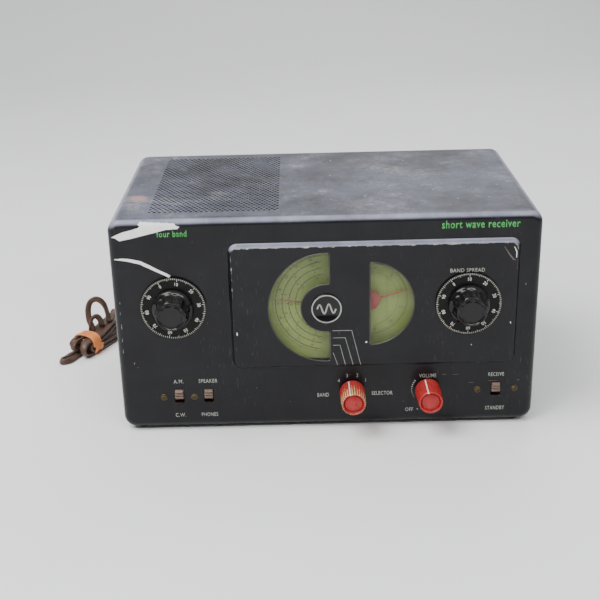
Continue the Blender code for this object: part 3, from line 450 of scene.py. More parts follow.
def make_mottle():
    """Cloudy noise between two values, of a given size."""
    tree, given, place = effect("mottle", {"Scale": 40.0, "Low": 0.0, "High": 1.0})
    noise = add(tree, "TexNoise", {"Vector": place, "Scale": given["Scale"], "Detail": 6.0, "Roughness": 0.6})
    return close_effect(tree, ramp(tree, noise.outputs[0], 0.3, 0.7, given["Low"], given["High"]))


def make_dust():
    """A mask of dust that lies on what faces up, thinner where it was wiped, with brighter specks in it."""
    tree, given, place = effect("dust", {"Amount": 1.0, "Specks": 0.5})
    normal = add(tree, "NewGeometry").outputs["Normal"]
    up = ramp(tree, add(tree, "SeparateXYZ", {0: normal}).outputs[2], 0.12, 0.80)
    broad = add(tree, "TexNoise", {"Vector": place, "Scale": 14.0, "Detail": 5.0, "Roughness": 0.65})
    fine = add(tree, "TexNoise", {"Vector": place, "Scale": 420.0, "Detail": 2.0})
    wiped = ramp(tree, broad.outputs[0], 0.38, 0.64, 0.26, 1.0)
    film = times(tree, wiped, ramp(tree, fine.outputs[0], 0.3, 0.7, 0.65, 1.0))
    dots = add(tree, "TexVoronoi", {"Vector": place, "Scale": 260.0})
    spot = ramp(tree, dots.outputs["Distance"], 0.13, 0.05)
    chance = ramp(tree, add(tree, "SeparateColor", {0: dots.outputs["Color"]}).outputs[0], 0.80, 0.83)
    speck = times(tree, times(tree, spot, chance), given["Specks"])
    mask = times(tree, up, times(tree, times(tree, film, given["Amount"]), speck, "ADD"))
    halved = add(tree, "Math", {0: mask, 1: 0.5}, operation="MULTIPLY", use_clamp=True)
    return close_effect(tree, halved.outputs[0])


def make_hairlines():
    """A mask of fine crooked scratches, gathered in patches."""
    tree, given, place = effect("hairlines", {"Scale": 1.0, "Amount": 0.5})
    total = None
    for turn, scale in ((0.5, 60.0), (-0.9, 47.0), (1.9, 71.0)):
        turned = add(tree, "Mapping", {
            "Vector": place, "Rotation": (turn, turn * 0.7, turn), "Scale": (22.0, 1.0, 1.6),
        })
        noise = add(tree, "TexNoise", {
            "Vector": turned.outputs[0], "Scale": scale, "Detail": 2.0, "Distortion": 0.3,
        })
        line = ramp(tree, noise.outputs[0], 0.69, 0.74)
        total = line if total is None else times(tree, total, line, "MAXIMUM")
    patches = add(tree, "TexNoise", {"Vector": place, "Scale": 19.0, "Detail": 3.0})
    held = times(tree, total, ramp(tree, patches.outputs[0], 0.48, 0.62))
    return close_effect(tree, times(tree, held, given["Amount"]))


def make_smudge():
    """Scattered cloudy marks with ragged borders."""
    tree, given, place = effect("smudge", {"Scale": 20.0})
    size = given["Scale"]
    broad = add(tree, "TexNoise", {"Vector": place, "Scale": size, "Detail": 8.0, "Roughness": 0.72})
    fine = add(tree, "TexNoise", {"Vector": place, "Scale": 330.0, "Detail": 3.0, "Roughness": 0.7})
    mark = times(tree, ramp(tree, broad.outputs[0], 0.50, 0.64), ramp(tree, fine.outputs[0], 0.36, 0.58))
    return close_effect(tree, mark)


MOTTLE, DUST, HAIRLINES, SMUDGE = make_mottle(), make_dust(), make_hairlines(), make_smudge()


def use(tree, shared, **inputs):
    """The value that comes out of a shared effect."""
    return add(tree, "Group", inputs, node_tree=shared).outputs["Value"]


DUST_GREY = (150, 146, 140)


def linear(colour):
    """A display colour of 0 to 255 turned into the linear one that shaders take."""
    share = np.asarray(colour, float) / 255
    value = np.where(share <= 0.04045, share / 12.92, ((share + 0.055) / 1.055) ** 2.4)
    return (*[float(v) for v in value], 1.0)


def finish_of(name, colour, rough=0.5, metal=0.0):
    """A material whose even values are set straight on its shader."""
    material = bpy.data.materials.new(name)
    material.use_nodes = True
    shader = material.node_tree.nodes["Principled BSDF"]
    shader.inputs["Base Color"].default_value = linear(colour)
    shader.inputs["Roughness"].default_value = rough
    shader.inputs["Metallic"].default_value = metal
    return material, material.node_tree, shader


def blend(tree, amount, a, b):
    """Colour a, turning into colour b by amount."""
    return add(tree, "Mix", {0: amount, 6: a, 7: b}, data_type="RGBA").outputs[2]


def bumped(tree, shader, height, strength=0.2, distance=0.0002):
    """Roughens the shader's normal by a height."""
    bump = add(tree, "Bump", {"Height": height, "Strength": strength, "Distance": distance})
    tree.links.new(bump.outputs[0], shader.inputs["Normal"])


def aged(name, colour, rough=0.5, metal=0.0, other=None, dust=0.25, scale=60.0, grain=0.0, vary=0.12):
    """A material that is a little uneven in colour and gloss, with some dust on what faces up.

    other is the second colour of its clouds, scale how fine they are, and vary how far its gloss strays.
    """
    material, tree, shader = finish_of(name, colour, rough, metal)
    base = linear(colour)
    second = linear(other) if other else (*[v * 0.72 for v in base[:3]], 1.0)
    cloud = use(tree, MOTTLE, Scale=scale)
    dusty = use(tree, DUST, Amount=dust, Specks=0.3 * dust)
    mixed = blend(tree, cloud, base, second)
    tree.links.new(blend(tree, dusty, mixed, linear(DUST_GREY)), shader.inputs["Base Color"])
    gloss = use(tree, MOTTLE, Scale=scale * 1.7, Low=max(rough - vary, 0.02), High=min(rough + vary, 1.0))
    tree.links.new(times(tree, gloss, times(tree, dusty, 0.4), "ADD"), shader.inputs["Roughness"])
    if grain:
        place = add(tree, "TexCoord").outputs["Object"]
        fine = add(tree, "TexNoise", {"Vector": place, "Scale": 1400.0, "Detail": 2.0})
        bumped(tree, shader, fine.outputs[0], grain)
    return material


def quieter(look, level):
    """Turns down how much of the room a finish mirrors."""
    shader = next(node for node in look.node_tree.nodes if node.bl_idname == "ShaderNodeBsdfPrincipled")
    shader.inputs["Specular IOR Level"].default_value = level


def make_enamel():
    """Charcoal enamel: hazed and dusty on top, scuffed, with a painted sheen on curves that face partly up, and
    rubbed to bare metal where the wear marks say; along the dial panel's top bevel those marks also paint in a
    highlight.
    """
    material, tree, shader = finish_of("charcoal_enamel", (31, 31, 38), 0.42)
    shader.inputs["Specular IOR Level"].default_value = 0.19
    shader.inputs["Coat Weight"].default_value = 0.17
    shader.inputs["Coat Roughness"].default_value = 0.16
    place = add(tree, "TexCoord").outputs["Object"]
    cloud = use(tree, MOTTLE, Scale=26.0)
    base = blend(tree, cloud, linear((8, 8, 11)), linear((20, 20, 25)))
    scratch = use(tree, HAIRLINES, Amount=0.16)
    base = blend(tree, scratch, base, linear((128, 130, 134)))
    haze = use(tree, DUST, Amount=0.72, Specks=1.0)
    base = blend(tree, haze, base, linear((158, 161, 186)))
    smudge = times(tree, use(tree, SMUDGE, Scale=36.0), use(tree, DUST, Amount=0.8, Specks=0.8))
    base = blend(tree, smudge, base, linear((205, 203, 198)))

    # One pinkish blot on the top, by how near its middle a place is.
    middle = (-0.147, PANEL_Y + 0.056, CAB_HIGH.z)
    away = add(tree, "VectorMath", {0: place, 1: middle}, operation="DISTANCE").outputs[1]
    away = times(tree, away, use(tree, MOTTLE, Scale=120.0, Low=-0.003, High=0.003), "ADD")
    base = blend(tree, ramp(tree, away, 0.0095, 0.004, 0.0, 0.7), base, linear((176, 134, 128)))

    # A painted sheen: a paler band on faces tilted partly up, where the top rolls over into the front and along the
    # dial panel's bevel; then the rubbed edges.
    rise = add(tree, "SeparateXYZ", {0: add(tree, "NewGeometry").outputs["Normal"]}).outputs[2]
    bend = times(tree, ramp(tree, rise, 0.26, 0.62), ramp(tree, rise, 0.97, 0.85))
    bend = times(tree, bend, use(tree, MOTTLE, Scale=48.0, Low=0.45, High=0.95))
    base = blend(tree, bend, base, linear((156, 158, 174)))
    # The wear marks show rubbed paint, and along the dial panel's top bevel they are strong enough to paint in a
    # highlight as well.
    wear = add(tree, "Attribute", attribute_name="wear").outputs["Fac"]
    ragged = use(tree, MOTTLE, Scale=210.0, Low=-0.45, High=0.45)
    bare_and_highlight = ramp(tree, times(tree, wear, ragged, "ADD"), 0.74, 1.10)
    base = blend(tree, bare_and_highlight, base, linear((188, 186, 176)))
    tree.links.new(base, shader.inputs["Base Color"])

    rough = use(tree, MOTTLE, Scale=70.0, Low=0.26, High=0.44)
    tree.links.new(times(tree, rough, times(tree, haze, 0.30), "ADD"), shader.inputs["Roughness"])
    fine = add(tree, "TexNoise", {"Vector": place, "Scale": 900.0, "Detail": 3.0})
    bumped(tree, shader, fine.outputs[0], 0.12)
    return material


def make_clear():
    """Clear sheet that shows mostly as its own reflections, so that light still reaches the dials."""
    material, tree, shader = finish_of("clear_sheet", (235, 240, 225), 0.06)
    film = use(tree, MOTTLE, Scale=90.0, Low=0.01, High=0.035)
    tree.links.new(film, shader.inputs["Alpha"])
    tree.links.new(use(tree, MOTTLE, Scale=160.0, Low=0.04, High=0.14), shader.inputs["Roughness"])
    return material


def make_bulb():
    """Thin valve glass, silvered at its top."""
    material, tree, shader = finish_of("valve_glass", (200, 205, 205), 0.05)
    height = add(tree, "SeparateXYZ", {0: add(tree, "TexCoord").outputs["Object"]}).outputs[2]
    ragged = use(tree, MOTTLE, Scale=120.0, Low=-0.0015, High=0.0015)
    silver = ramp(tree, times(tree, height, ragged, "ADD"), 0.1085, 0.1105)
    tree.links.new(silver, shader.inputs["Metallic"])
    tree.links.new(ramp(tree, silver, 0.0, 1.0, 0.22, 0.97), shader.inputs["Alpha"])
    return material


def make_worn_red(name, middle, worn):
    """Red ribbed plastic; on the worn knob the tops of the ribs are rubbed down to a cream core."""
    material, tree, shader = finish_of(name, middle, 0.34)
    cloud = use(tree, MOTTLE, Scale=150.0)
    base = blend(tree, cloud, linear(middle), linear([v * 0.78 for v in middle]))
    if worn:
        wear = add(tree, "Attribute", attribute_name="wear").outputs["Fac"]
        ragged = use(tree, MOTTLE, Scale=330.0, Low=-0.25, High=0.25)
        rubbed = ramp(tree, times(tree, wear, ragged, "ADD"), 0.55, 0.85)
        base = blend(tree, rubbed, base, linear((206, 178, 122)))
    base = blend(tree, use(tree, DUST, Amount=0.12, Specks=0.2), base, linear((190, 170, 160)))
    tree.links.new(base, shader.inputs["Base Color"])
    tree.links.new(use(tree, MOTTLE, Scale=220.0, Low=0.24, High=0.44), shader.inputs["Roughness"])
    return material


def make_dial_paint():
    """Green dial card, cloudy with age."""
    material, tree, shader = finish_of("dial_card", (158, 172, 96), 0.55)
    cloudy = blend(tree, use(tree, MOTTLE, Scale=32.0), linear((136, 151, 74)), linear((108, 124, 56)))
    tree.links.new(cloudy, shader.inputs["Base Color"])
    return material


ENAMEL = make_enamel()
CLEAR = make_clear()
VALVE_GLASS = make_bulb()
DIAL_CARD = make_dial_paint()
WORN_RED = make_worn_red("worn_red_plastic", (178, 30, 28), True)
PLAIN_RED = make_worn_red("red_plastic", (182, 27, 27), False)
BAKELITE = aged("black_bakelite", (9, 9, 11), 0.10, other=(14, 13, 14), dust=0.16, vary=0.05)
SKIRT = aged("skirt_black", (12, 12, 13), 0.24, other=(18, 18, 19), dust=0.15, vary=0.08)
SKIRT_PRINT = aged("skirt_print", (222, 220, 208), 0.6, other=(190, 188, 176), dust=0.0, scale=300.0)
LETTER = aged("panel_print", (168, 170, 162), 0.6, other=(136, 138, 130), dust=0.0, scale=300.0)
GREEN_LETTER = aged("green_print", (78, 190, 92), 0.55, other=(50, 130, 62), dust=0.0, scale=300.0)
DIAL_INK = aged("dial_ink", (34, 38, 16), 0.7, other=(52, 57, 26), dust=0.0, scale=260.0)
WINDOW_EDGE = aged("window_edge", (84, 84, 82), 0.36, 0.9, dust=0.7, scale=220.0)
INDEX_WHITE = aged("index_white", (225, 220, 208), 0.5, other=(200, 190, 172), dust=0.0, scale=300.0)
CHIP = aged("chipped_primer", (252, 252, 250), 0.7, other=(238, 238, 234), dust=0.0, scale=240.0)
WORN_EDGE = aged("worn_edge", (176, 176, 172), 0.7, other=(110, 110, 108), dust=0.0, scale=700.0)
FAINT = aged("faint_scuff", (112, 104, 92), 0.7, other=(66, 62, 58), dust=0.0, scale=600.0)
BROWN = aged("brown_plastic", (112, 86, 72), 0.42, other=(88, 66, 54), dust=0.5, scale=150.0)
OLD_BRASS = aged("old_brass", (96, 84, 56), 0.5, 0.7, other=(56, 50, 38), dust=0.2, scale=400.0, grain=0.2)
CORD_BROWN = aged("cord_brown", (94, 67, 53), 0.42, other=(68, 48, 39), dust=0.10, scale=70.0, grain=0.1)
BAND_ORANGE = aged("orange_rubber", (236, 148, 78), 0.6, other=(222, 126, 60), dust=0.1, scale=120.0)
RUBBER = aged("black_rubber", (24, 24, 24), 0.8, other=(34, 33, 32), dust=0.4, grain=0.2)
BROWN_POINTER = aged("pointer_brown", (124, 78, 52), 0.5, other=(104, 66, 44), dust=0.0, scale=200.0)
POINTER = aged("pointer_red", (150, 62, 56), 0.5, other=(132, 54, 48), dust=0.0, scale=200.0)
STEEL = aged("zinc_steel", (150, 150, 142), 0.38, 0.85, other=(110, 108, 98), dust=0.35, grain=0.1)
ALUMINIUM = aged("aluminium", (190, 190, 186), 0.35, 0.9, dust=0.2, grain=0.15)
BRASS = aged("brass", (176, 146, 84), 0.36, 0.9, other=(120, 98, 54), dust=0.15)
PHENOLIC = aged("phenolic", (92, 58, 36), 0.6, other=(66, 40, 25), dust=0.25, grain=0.15)
FIBRE = aged("fibreboard", (84, 60, 44), 0.88, other=(64, 46, 34), dust=0.2, scale=110.0, grain=0.6)
PAPER = aged("paper_cone", (58, 54, 50), 0.95, other=(44, 41, 38), dust=0.4, grain=0.5)
STRING = aged("dial_string", (150, 130, 92), 0.9, dust=0.1, grain=0.3)

quieter(BAKELITE, 0.32)
quieter(SKIRT, 0.14)

# The finish that each of the record's material slots takes on a CAD node.
NODE_LOOKS = {
    "charcoal_paint": ENAMEL,
    "steel": STEEL,
    "fibreboard": FIBRE,
    "black_rubber": RUBBER,
    "clear_sheet": CLEAR,
    "black_bakelite": BAKELITE,
    "dial_green": DIAL_CARD,
    "dial_string": STRING,
    "aluminium": ALUMINIUM,
    "brass": BRASS,
    "phenolic": PHENOLIC,
    "paper_cone": PAPER,
    "tube_glass": VALVE_GLASS,
    "brown_cord": CORD_BROWN,
    "pointer_red": POINTER,
    "red_plastic": PLAIN_RED,
    "brown_plastic": BROWN,
}

# Each CAD node that stays in sight gets the finish that its slot names.
for node in frame["nodes"].values():
    for held in node.material_slots:
        plain = held.material.name.split(".")[0] if held.material else ""
        held.material = NODE_LOOKS.get(plain, STEEL)


# --- Cabinet -------------------------------------------------------------------------------------------
def main_window():
    """The half ring left of the main dial's middle, as an outline."""
    corner = math.degrees(math.acos(MAIN_EDGE / MAIN_OUTER))
    inner = math.degrees(math.acos(MAIN_EDGE / MAIN_INNER))
    outer_arc = arc(MAIN, MAIN_OUTER, corner, 360 - corner, 72)
    inner_arc = arc(MAIN, MAIN_INNER, 360 - inner, inner, 48)
    return np.concatenate([outer_arc, inner_arc])


SPREAD_DIAL = (MAIN[0] + 0.0333, MAIN[1] + 0.0025)
WINDOWS = (main_window(), arc(SPREAD_DIAL, SPREAD_RADIUS, -90, 90, 64))


def step(value, low, high):
    """0 below low, 1 above high, and a smooth rise between."""
    t = np.clip((value - low) / (high - low), 0, 1)
    return t * t * (3 - 2 * t)


def make_grille(skin):
    """The top's punched field: rows of round holes, every other row shifted half a pitch. Gives its border."""
    pitch, row = HOLE_PITCH, HOLE_PITCH * math.sqrt(3) / 2
    x0, y0 = GRILLE_LOW
    x1, y1 = x0 + (GRILLE_COLUMNS + 0.5) * pitch, y0 + GRILLE_ROWS * row
    around = np.array([[2, 0], [2, 2], [1, 2], [0, 2], [-1, 2], [-2, 2],
                       [-2, 0], [-2, -2], [-1, -2], [0, -2], [1, -2], [2, -2]])
    border = around * [pitch / 4, row / 4]
    ring = border / np.linalg.norm(border, axis=1)[:, None] * HOLE_RADIUS
    cell = np.concatenate([ring, border])
    quads = grid_faces(2, len(around), True)
    for r in range(GRILLE_ROWS):
        shift = (r % 2) * pitch / 2
        middles = np.stack([x0 + shift + (np.arange(GRILLE_COLUMNS) + 0.5) * pitch,
                            np.full(GRILLE_COLUMNS, y0 + (r + 0.5) * row)], axis=-1)
        flat = middles[:, None] + cell[None]
        points = np.concatenate([flat, np.full((*flat.shape[:2], 1), CAB_HIGH.z)], axis=-1)
        faces = (quads[None] + (np.arange(GRILLE_COLUMNS) * len(cell))[:, None, None]).reshape(-1, 4)
        skin.add(points, faces)
        # The half cell without a hole that fills the row up, at its left or its right end.
        blank = x0 if r % 2 else x1 - pitch / 2
        low, high, middle = y0 + r * row, y0 + (r + 1) * row, y0 + (r + 0.5) * row
        a, b, c = blank, blank + pitch / 4, blank + pitch / 2
        loop = [(a, low), (b, low), (c, low), (c, middle), (c, high), (b, high), (a, high), (a, middle)]
        skin.add([(x, y, CAB_HIGH.z) for x, y in loop], [list(range(8))])
    across = x0 + np.arange(GRILLE_COLUMNS * 4 + 3) * pitch / 4
    along = y0 + np.arange(GRILLE_ROWS * 2 + 1) * row / 2
    return np.concatenate([
        [(x, y0) for x in across[:-1]], [(x1, y) for y in along[:-1]],
        [(x, y1) for x in across[:0:-1]], [(x0, y) for y in along[:0:-1]],
    ])


def at_height(height):
    """A lift for Skin.fill: (x, y) points laid flat at a height."""
    return lambda p: np.concatenate([p, np.full((len(p), 1), height)], axis=1)


def at_out(out):
    """A lift for Skin.fill: (x, height) points set a distance out of the front."""
    return lambda p: front(p[:, 0], p[:, 1], out)


def add_wrap(skin, low, high):
    """The rolled front edge, a quarter circle, then the four sides; the top and the bottom are pierced."""
    wrap_start = -ROLL - 0.001
    profile = [(ROLL + LIP, 0.0, 0.0)]
    profile += [(ROLL * (1 - math.sin(a)), -ROLL * (1 - math.cos(a)), 0.3 * math.sin(2 * a))
                for a in np.radians(np.linspace(0, 90, 9))]
    profile += [(0.0, wrap_start, 0.0)]
    rings = []
    for inset, out, _ in profile:
        flat = lead_outline(low, high, CORNER, inset)
        rings.append(front(flat[:, 0], flat[:, 1], out))
    skin.loft(rings, [mark for _, _, mark in profile])

    # The last outline has as many points for each corner, so the top side follows the first quarter of them.
    corner = len(flat) // 4
    top_side, bottom_side = corner - 1, 3 * corner - 1
    ends = [front(flat[:, 0], flat[:, 1], out) for out in (wrap_start, PANEL_Y - BACK_Y)]
    quads = grid_faces(2, len(flat), True)
    skin.add(ends, [quad for quad in quads if quad[0] not in (top_side, bottom_side)])
    x_right, x_left = flat[top_side, 0], flat[top_side + 1, 0]
    near = PANEL_Y - wrap_start
    around = [(x_left, near), (x_right, near), (x_right, BACK_Y), (x_left, BACK_Y)]
    skin.fill([around, make_grille(skin)], at_height(CAB_HIGH.z))
    flange = 0.019
    opening = [(CAB_LOW.x + flange, PANEL_Y + flange), (CAB_HIGH.x - flange, PANEL_Y + flange),
               (CAB_HIGH.x - flange, BACK_Y - flange), (CAB_LOW.x + flange, BACK_Y - flange)]
    skin.fill([around, opening], at_height(CAB_LOW.z))


def add_flat_front(skin, low, high):
    """The flat front, pierced for the raised panel, the shafts and the switches."""
    edge = lead_outline(low, high, CORNER, ROLL + LIP)
    holes = [lead_outline(RAISED_LOW, RAISED_HIGH, RAISED_CORNER, -LIP)]
    for middle, radius in ((TUNING, SHAFT_HOLE), (SELECTOR, SMALL_SHAFT_HOLE), (VOLUME, SMALL_SHAFT_HOLE)):
        holes.append(circle(middle, radius, 36))
    half_wide, half_tall = 0.0038, 0.00635
    for x in SWITCH_PLACES:
        slot_low = (x - half_wide, SWITCH_HEIGHT - half_tall)
        slot_high = (x + half_wide, SWITCH_HEIGHT + half_tall)
        holes.append(lead_outline(slot_low, slot_high, 0.0010, 0.0, 0.0002, 3))
    skin.fill([edge] + holes, at_out(0.0))


def add_raised_panel(skin):
    """The dial panel: a bevel that is an S from the flat to the raised face, then that face with its windows.

    The bevel is rubbed along its crest, most at the top and a little at the left; the strong marks along the top
    also paint in a highlight there. Gives the windows.
    """
    profile = [(-LIP, 0.0, 0.0)]
    profile += [(0.0030 * t, RAISE * (3 * t * t - 2 * t ** 3), 0.75 * t ** 3) for t in np.linspace(0, 1, 11)]
    profile += [(0.0034, RAISE, 0.55), (0.0042, RAISE, 0.20), (0.0056, RAISE, 0.0)]
    rings, marks = [], []
    for inset, out, mark in profile:
        flat = lead_outline(RAISED_LOW, RAISED_HIGH, RAISED_CORNER, inset)
        rings.append(front(flat[:, 0], flat[:, 1], out))
        # upper makes the marks strongest along the top edge, where they are partly wear and partly a painted
        # highlight.
        upper = step(flat[:, 1], RAISED_HIGH[1] - 0.030, RAISED_HIGH[1] - 0.004)
        leftmost = step(-flat[:, 0], -RAISED_LOW[0] - 0.012, -RAISED_LOW[0])
        marks.append(mark * (0.30 + 0.85 * upper + 0.22 * leftmost * (1 - upper)))
    skin.add(rings, grid_faces(len(rings), len(flat), True), np.concatenate(marks))
    windows = [soften(outline) for outline in WINDOWS]
    skin.fill([flat] + windows + [circle(BAND_SPREAD, SHAFT_HOLE, 36)], at_out(RAISE))
    return windows


def make_cabinet():
    """The steel shell in one piece: wrap, flat front, raised panel. Gives the windows' outlines."""
    skin = Skin()
    low, high = (CAB_LOW.x, CAB_LOW.z), (CAB_HIGH.x, CAB_HIGH.z)
    add_wrap(skin, low, high)
    add_flat_front(skin, low, high)
    windows = add_raised_panel(skin)
    part = piece("cabinet_shell", *skin.joined(), ENAMEL, marks=np.concatenate(skin.marks))
    thicken(part, WALL)
    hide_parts("cabinet")
    return windows


def beading(name, outline, look, out, radius, steps=10):
    """A round bead of the given radius run along a closed flat outline."""
    along = np.roll(outline, -1, axis=0) - np.roll(outline, 1, axis=0)
    along /= np.linalg.norm(along, axis=1)[:, None]
    outward = np.stack([along[:, 1], -along[:, 0]], axis=-1)
    rings = []
    for a in np.linspace(0, 2 * math.pi, steps, endpoint=False):
        flat = outline + outward * radius * math.cos(a)
        rings.append(front(flat[:, 0], flat[:, 1], out + radius * math.sin(a)))
    rings = np.array(rings)
    return piece(name, rings, grid_faces(steps, len(outline), True, True), look)


for title, outline in zip(("main_window_rim", "spread_window_rim"), make_cabinet()):
    beading(title, outline, WINDOW_EDGE, RAISE - 0.0003, 0.00048)


# --- Scuffs on the paint -------------------------------------------------------------------------------
def rolled(x, height):
    """How far out the painted front is at a place, flat in the middle and rolling away at its edges."""
    side = (np.abs(x) - (CAB_HIGH.x - ROLL)) / ROLL
    top = (height - (CAB_HIGH.z - ROLL)) / ROLL
    q = np.clip(np.hypot(np.maximum(side, 0), np.maximum(top, 0)), 0, 0.999)
    return -ROLL * (1 - np.sqrt(1 - q * q))


def inside(x, y, outline):
    """Which places lie inside an outline, by counting the edges crossed on the way out."""
    a = np.asarray(outline, float)
    b = np.roll(a, -1, axis=0)
    x, y = x[..., None], y[..., None]
    spans = (a[:, 1] > y) != (b[:, 1] > y)
    rise = np.where(np.abs(b[:, 1] - a[:, 1]) < 1e-12, 1e-12, b[:, 1] - a[:, 1])
    crossing = a[:, 0] + (y - a[:, 1]) / rise * (b[:, 0] - a[:, 0])
    return ((spans & (x < crossing)).sum(-1) % 2).astype(bool)


# The cells that large and small bare patches are made of, and how far a patch stands off the paint.
COARSE_CELL, MIDDLE_CELL, SMALL_CELL, FINE_CELL = 0.0003, 0.00025, 0.0002, 0.00015
FRONT_PROUD, PROUD = 0.00008, 0.00006


def flake(name, outline, look, cell=COARSE_CELL, lift=None):
    """A bare patch that follows the paint, made of fine cells so that its border is ragged."""
    outline = np.asarray(outline, float)
    low, high = outline.min(0), outline.max(0)
    xs, zs = np.arange(low[0], high[0] + cell, cell), np.arange(low[1], high[1] + cell, cell)
    x, z = np.meshgrid(xs, zs)
    held = inside(x[:-1, :-1] + cell / 2, z[:-1, :-1] + cell / 2, outline).ravel()
    faces = grid_faces(len(zs), len(xs))[held]
    points = front(x, z, rolled(x, z) + FRONT_PROUD) if lift is None else lift(x, z)
    used, number = np.unique(faces, return_inverse=True)
    return piece(name, points.reshape(-1, 3)[used], number.reshape(faces.shape), look, recalc=False)


def streak(knees, widths):
    """The outline of a streak along a bent line, with a width at each bend."""
    line = np.asarray(knees, float)
    along = np.gradient(line, axis=0)
    along /= np.linalg.norm(along, axis=1)[:, None]
    side = np.stack([-along[:, 1], along[:, 0]], axis=-1) * np.asarray(widths, float)[:, None] / 2
    return np.concatenate([line + side, (line - side)[::-1]])


def on_raised(x, z):
    """Places on the raised face, just proud of it."""
    return front(x, z, RAISE + PROUD)


def on_top(x, depth):
    """Places on the cabinet's top, by x and depth back from the panel, just proud of it."""
    return np.stack([x, PANEL_Y + depth, np.full_like(x, CAB_HIGH.z + PROUD)], axis=-1)


def ragged_oval(shake, half_wide, half_tall, count=14, least=0.55):
    """A blot about its own middle: an oval whose reach is drawn between least and 1 at each of its points."""
    a = np.linspace(0, 2 * math.pi, count, endpoint=False)
    size = shake.uniform(least, 1.0, count)
    return half_wide * size * np.cos(a), half_tall * size * np.sin(a)


# The chips' outlines and the nicks, in millimetres.
LARGE_CHIP = (
    (-160.4, 164.8), (-157.1, 166.7), (-151.5, 168.9), (-144.9, 170.5), (-139.9, 172.0), (-138.2, 173.3),
    (-139.9, 174.4), (-138.2, 176.3), (-127.6, 175.6), (-112.6, 174.8), (-111.5, 173.1), (-108.7, 172.2),
    (-110.4, 170.5), (-119.3, 170.0), (-128.2, 167.8), (-138.2, 165.5), (-146.0, 163.6), (-154.3, 162.0),
    (-157.7, 164.4),
)
LONG_CHIP = (
    (-159.3, 147.5), (-153.5, 147.2), (-148.2, 146.5), (-140.4, 144.5), (-133.7, 141.0),
    (-129.3, 138.5), (-125.4, 136.5), (-121.0, 134.2), (-118.6, 132.6),
)
LONG_CHIP_WIDTHS = (0.6, 1.8, 2.4, 2.7, 2.6, 2.4, 2.1, 2.2, 2.4)
# Each nick as x, height, how wide and how tall.
NICKS = (
    (-158.5, 92.0, 0.5, 6.0), (-158.9, 80.5, 0.5, 4.0), (-151.0, 60.5, 0.8, 2.4), (-148.6, 57.0, 0.5, 1.2),
    (-158.2, 112.0, 0.4, 3.0), (-158.6, 103.0, 0.4, 3.6), (-159.0, 71.0, 0.4, 5.0), (92.0, 44.9, 5.0, 0.5),
    (101.0, 44.6, 7.0, 0.35), (131.0, 38.4, 11.0, 0.35), (114.0, 37.2, 6.0, 0.4), (151.0, 38.6, 3.2, 0.6),
    (-56.0, 37.0, 0.8, 1.2), (18.0, 46.5, 1.2, 0.6), (60.0, 22.0, 0.9, 0.6), (-30.0, 24.0, 0.7, 0.9),
    (152.5, 120.0, 0.6, 2.4), (-100.0, 160.0, 0.7, 0.5),
)


def make_front_scuffs():
    """Two large chips at the upper left of the flat front, and small nicks about it."""
    flake("large_chip", np.array(LARGE_CHIP) / 1000, CHIP)
    long = streak(np.array(LONG_CHIP) / 1000, np.array(LONG_CHIP_WIDTHS) / 1000)
    flake("long_chip", long, CHIP, MIDDLE_CELL)
    for number, (x, z, wide, tall) in enumerate(NICKS, 1):
        u, v = ragged_oval(np.random.default_rng(number), wide / 2, tall / 2)
        outline = np.stack([x + u, z + v], axis=-1) / 1000
        flake(f"nick_{number}", outline, FAINT if tall < 1.5 else WORN_EDGE, FINE_CELL)


def make_raised_scuffs():
    """Two worn curls at the raised panel's upper right corner, and four nicks."""
    x1, z1 = RAISED_HIGH
    curl = streak([(x1 - 0.0135, z1 - 0.0060), (x1 - 0.0100, z1 - 0.0115),
                   (x1 - 0.0065, z1 - 0.0160), (x1 - 0.0045, z1 - 0.0172)], [0.0004, 0.0010, 0.0012, 0.0004])
    flake("raised_curl_wear", curl, FAINT, FINE_CELL, on_raised)
    hook = streak([(x1 - 0.0060, z1 - 0.0062), (x1 - 0.0042, z1 - 0.0100), (x1 - 0.0040, z1 - 0.0150)],
                  [0.0004, 0.0007, 0.0004])
    flake("raised_hook_wear", hook, CHIP, FINE_CELL, on_raised)
    for number, (x, z, half_wide, half_tall) in enumerate((
        (RAISED_LOW[0] + 0.0052, 0.0855, 0.0005, 0.0017), (0.0305, 0.0762, 0.0008, 0.0010),
        (0.1120, 0.0720, 0.0005, 0.0004), (x1 - 0.0060, 0.0900, 0.0004, 0.0011),
    ), 1):
        u, v = ragged_oval(np.random.default_rng(40 + number), half_wide, half_tall, 12)
        flake(f"raised_nick_{number}", np.stack([x + u, z + v], axis=-1), CHIP, FINE_CELL, on_raised)


def make_top_marks():
    """Small marks strewn over the right of the top, one in five of them a long scratch."""
    for number in range(1, 27):
        shake = np.random.default_rng(100 + number)
        x, depth = shake.uniform(-0.02, 0.15), shake.uniform(0.012, 0.180)
        wide, turn = shake.uniform(0.0004, 0.0012), shake.uniform(0, math.pi)
        tall = wide * shake.choice((1.0, 1.4, 7.0), p=(0.5, 0.3, 0.2))
        u, v = ragged_oval(shake, wide, tall, least=0.5)
        c, s = math.cos(turn), math.sin(turn)
        outline = np.stack([x + u * c - v * s, depth + u * s + v * c], axis=-1)
        flake(f"top_mark_{number}", outline, WORN_EDGE, SMALL_CELL, on_top)


make_front_scuffs()
make_raised_scuffs()
make_top_marks()


# --- Dials ---------------------------------------------------------------------------------------------
def polar(middle, radius, angle):
    """The place at a radius and an angle, in degrees clockwise from straight up."""
    a = math.radians(angle)
    return np.array([middle[0] + radius * math.sin(a), middle[1] + radius * math.cos(a)])


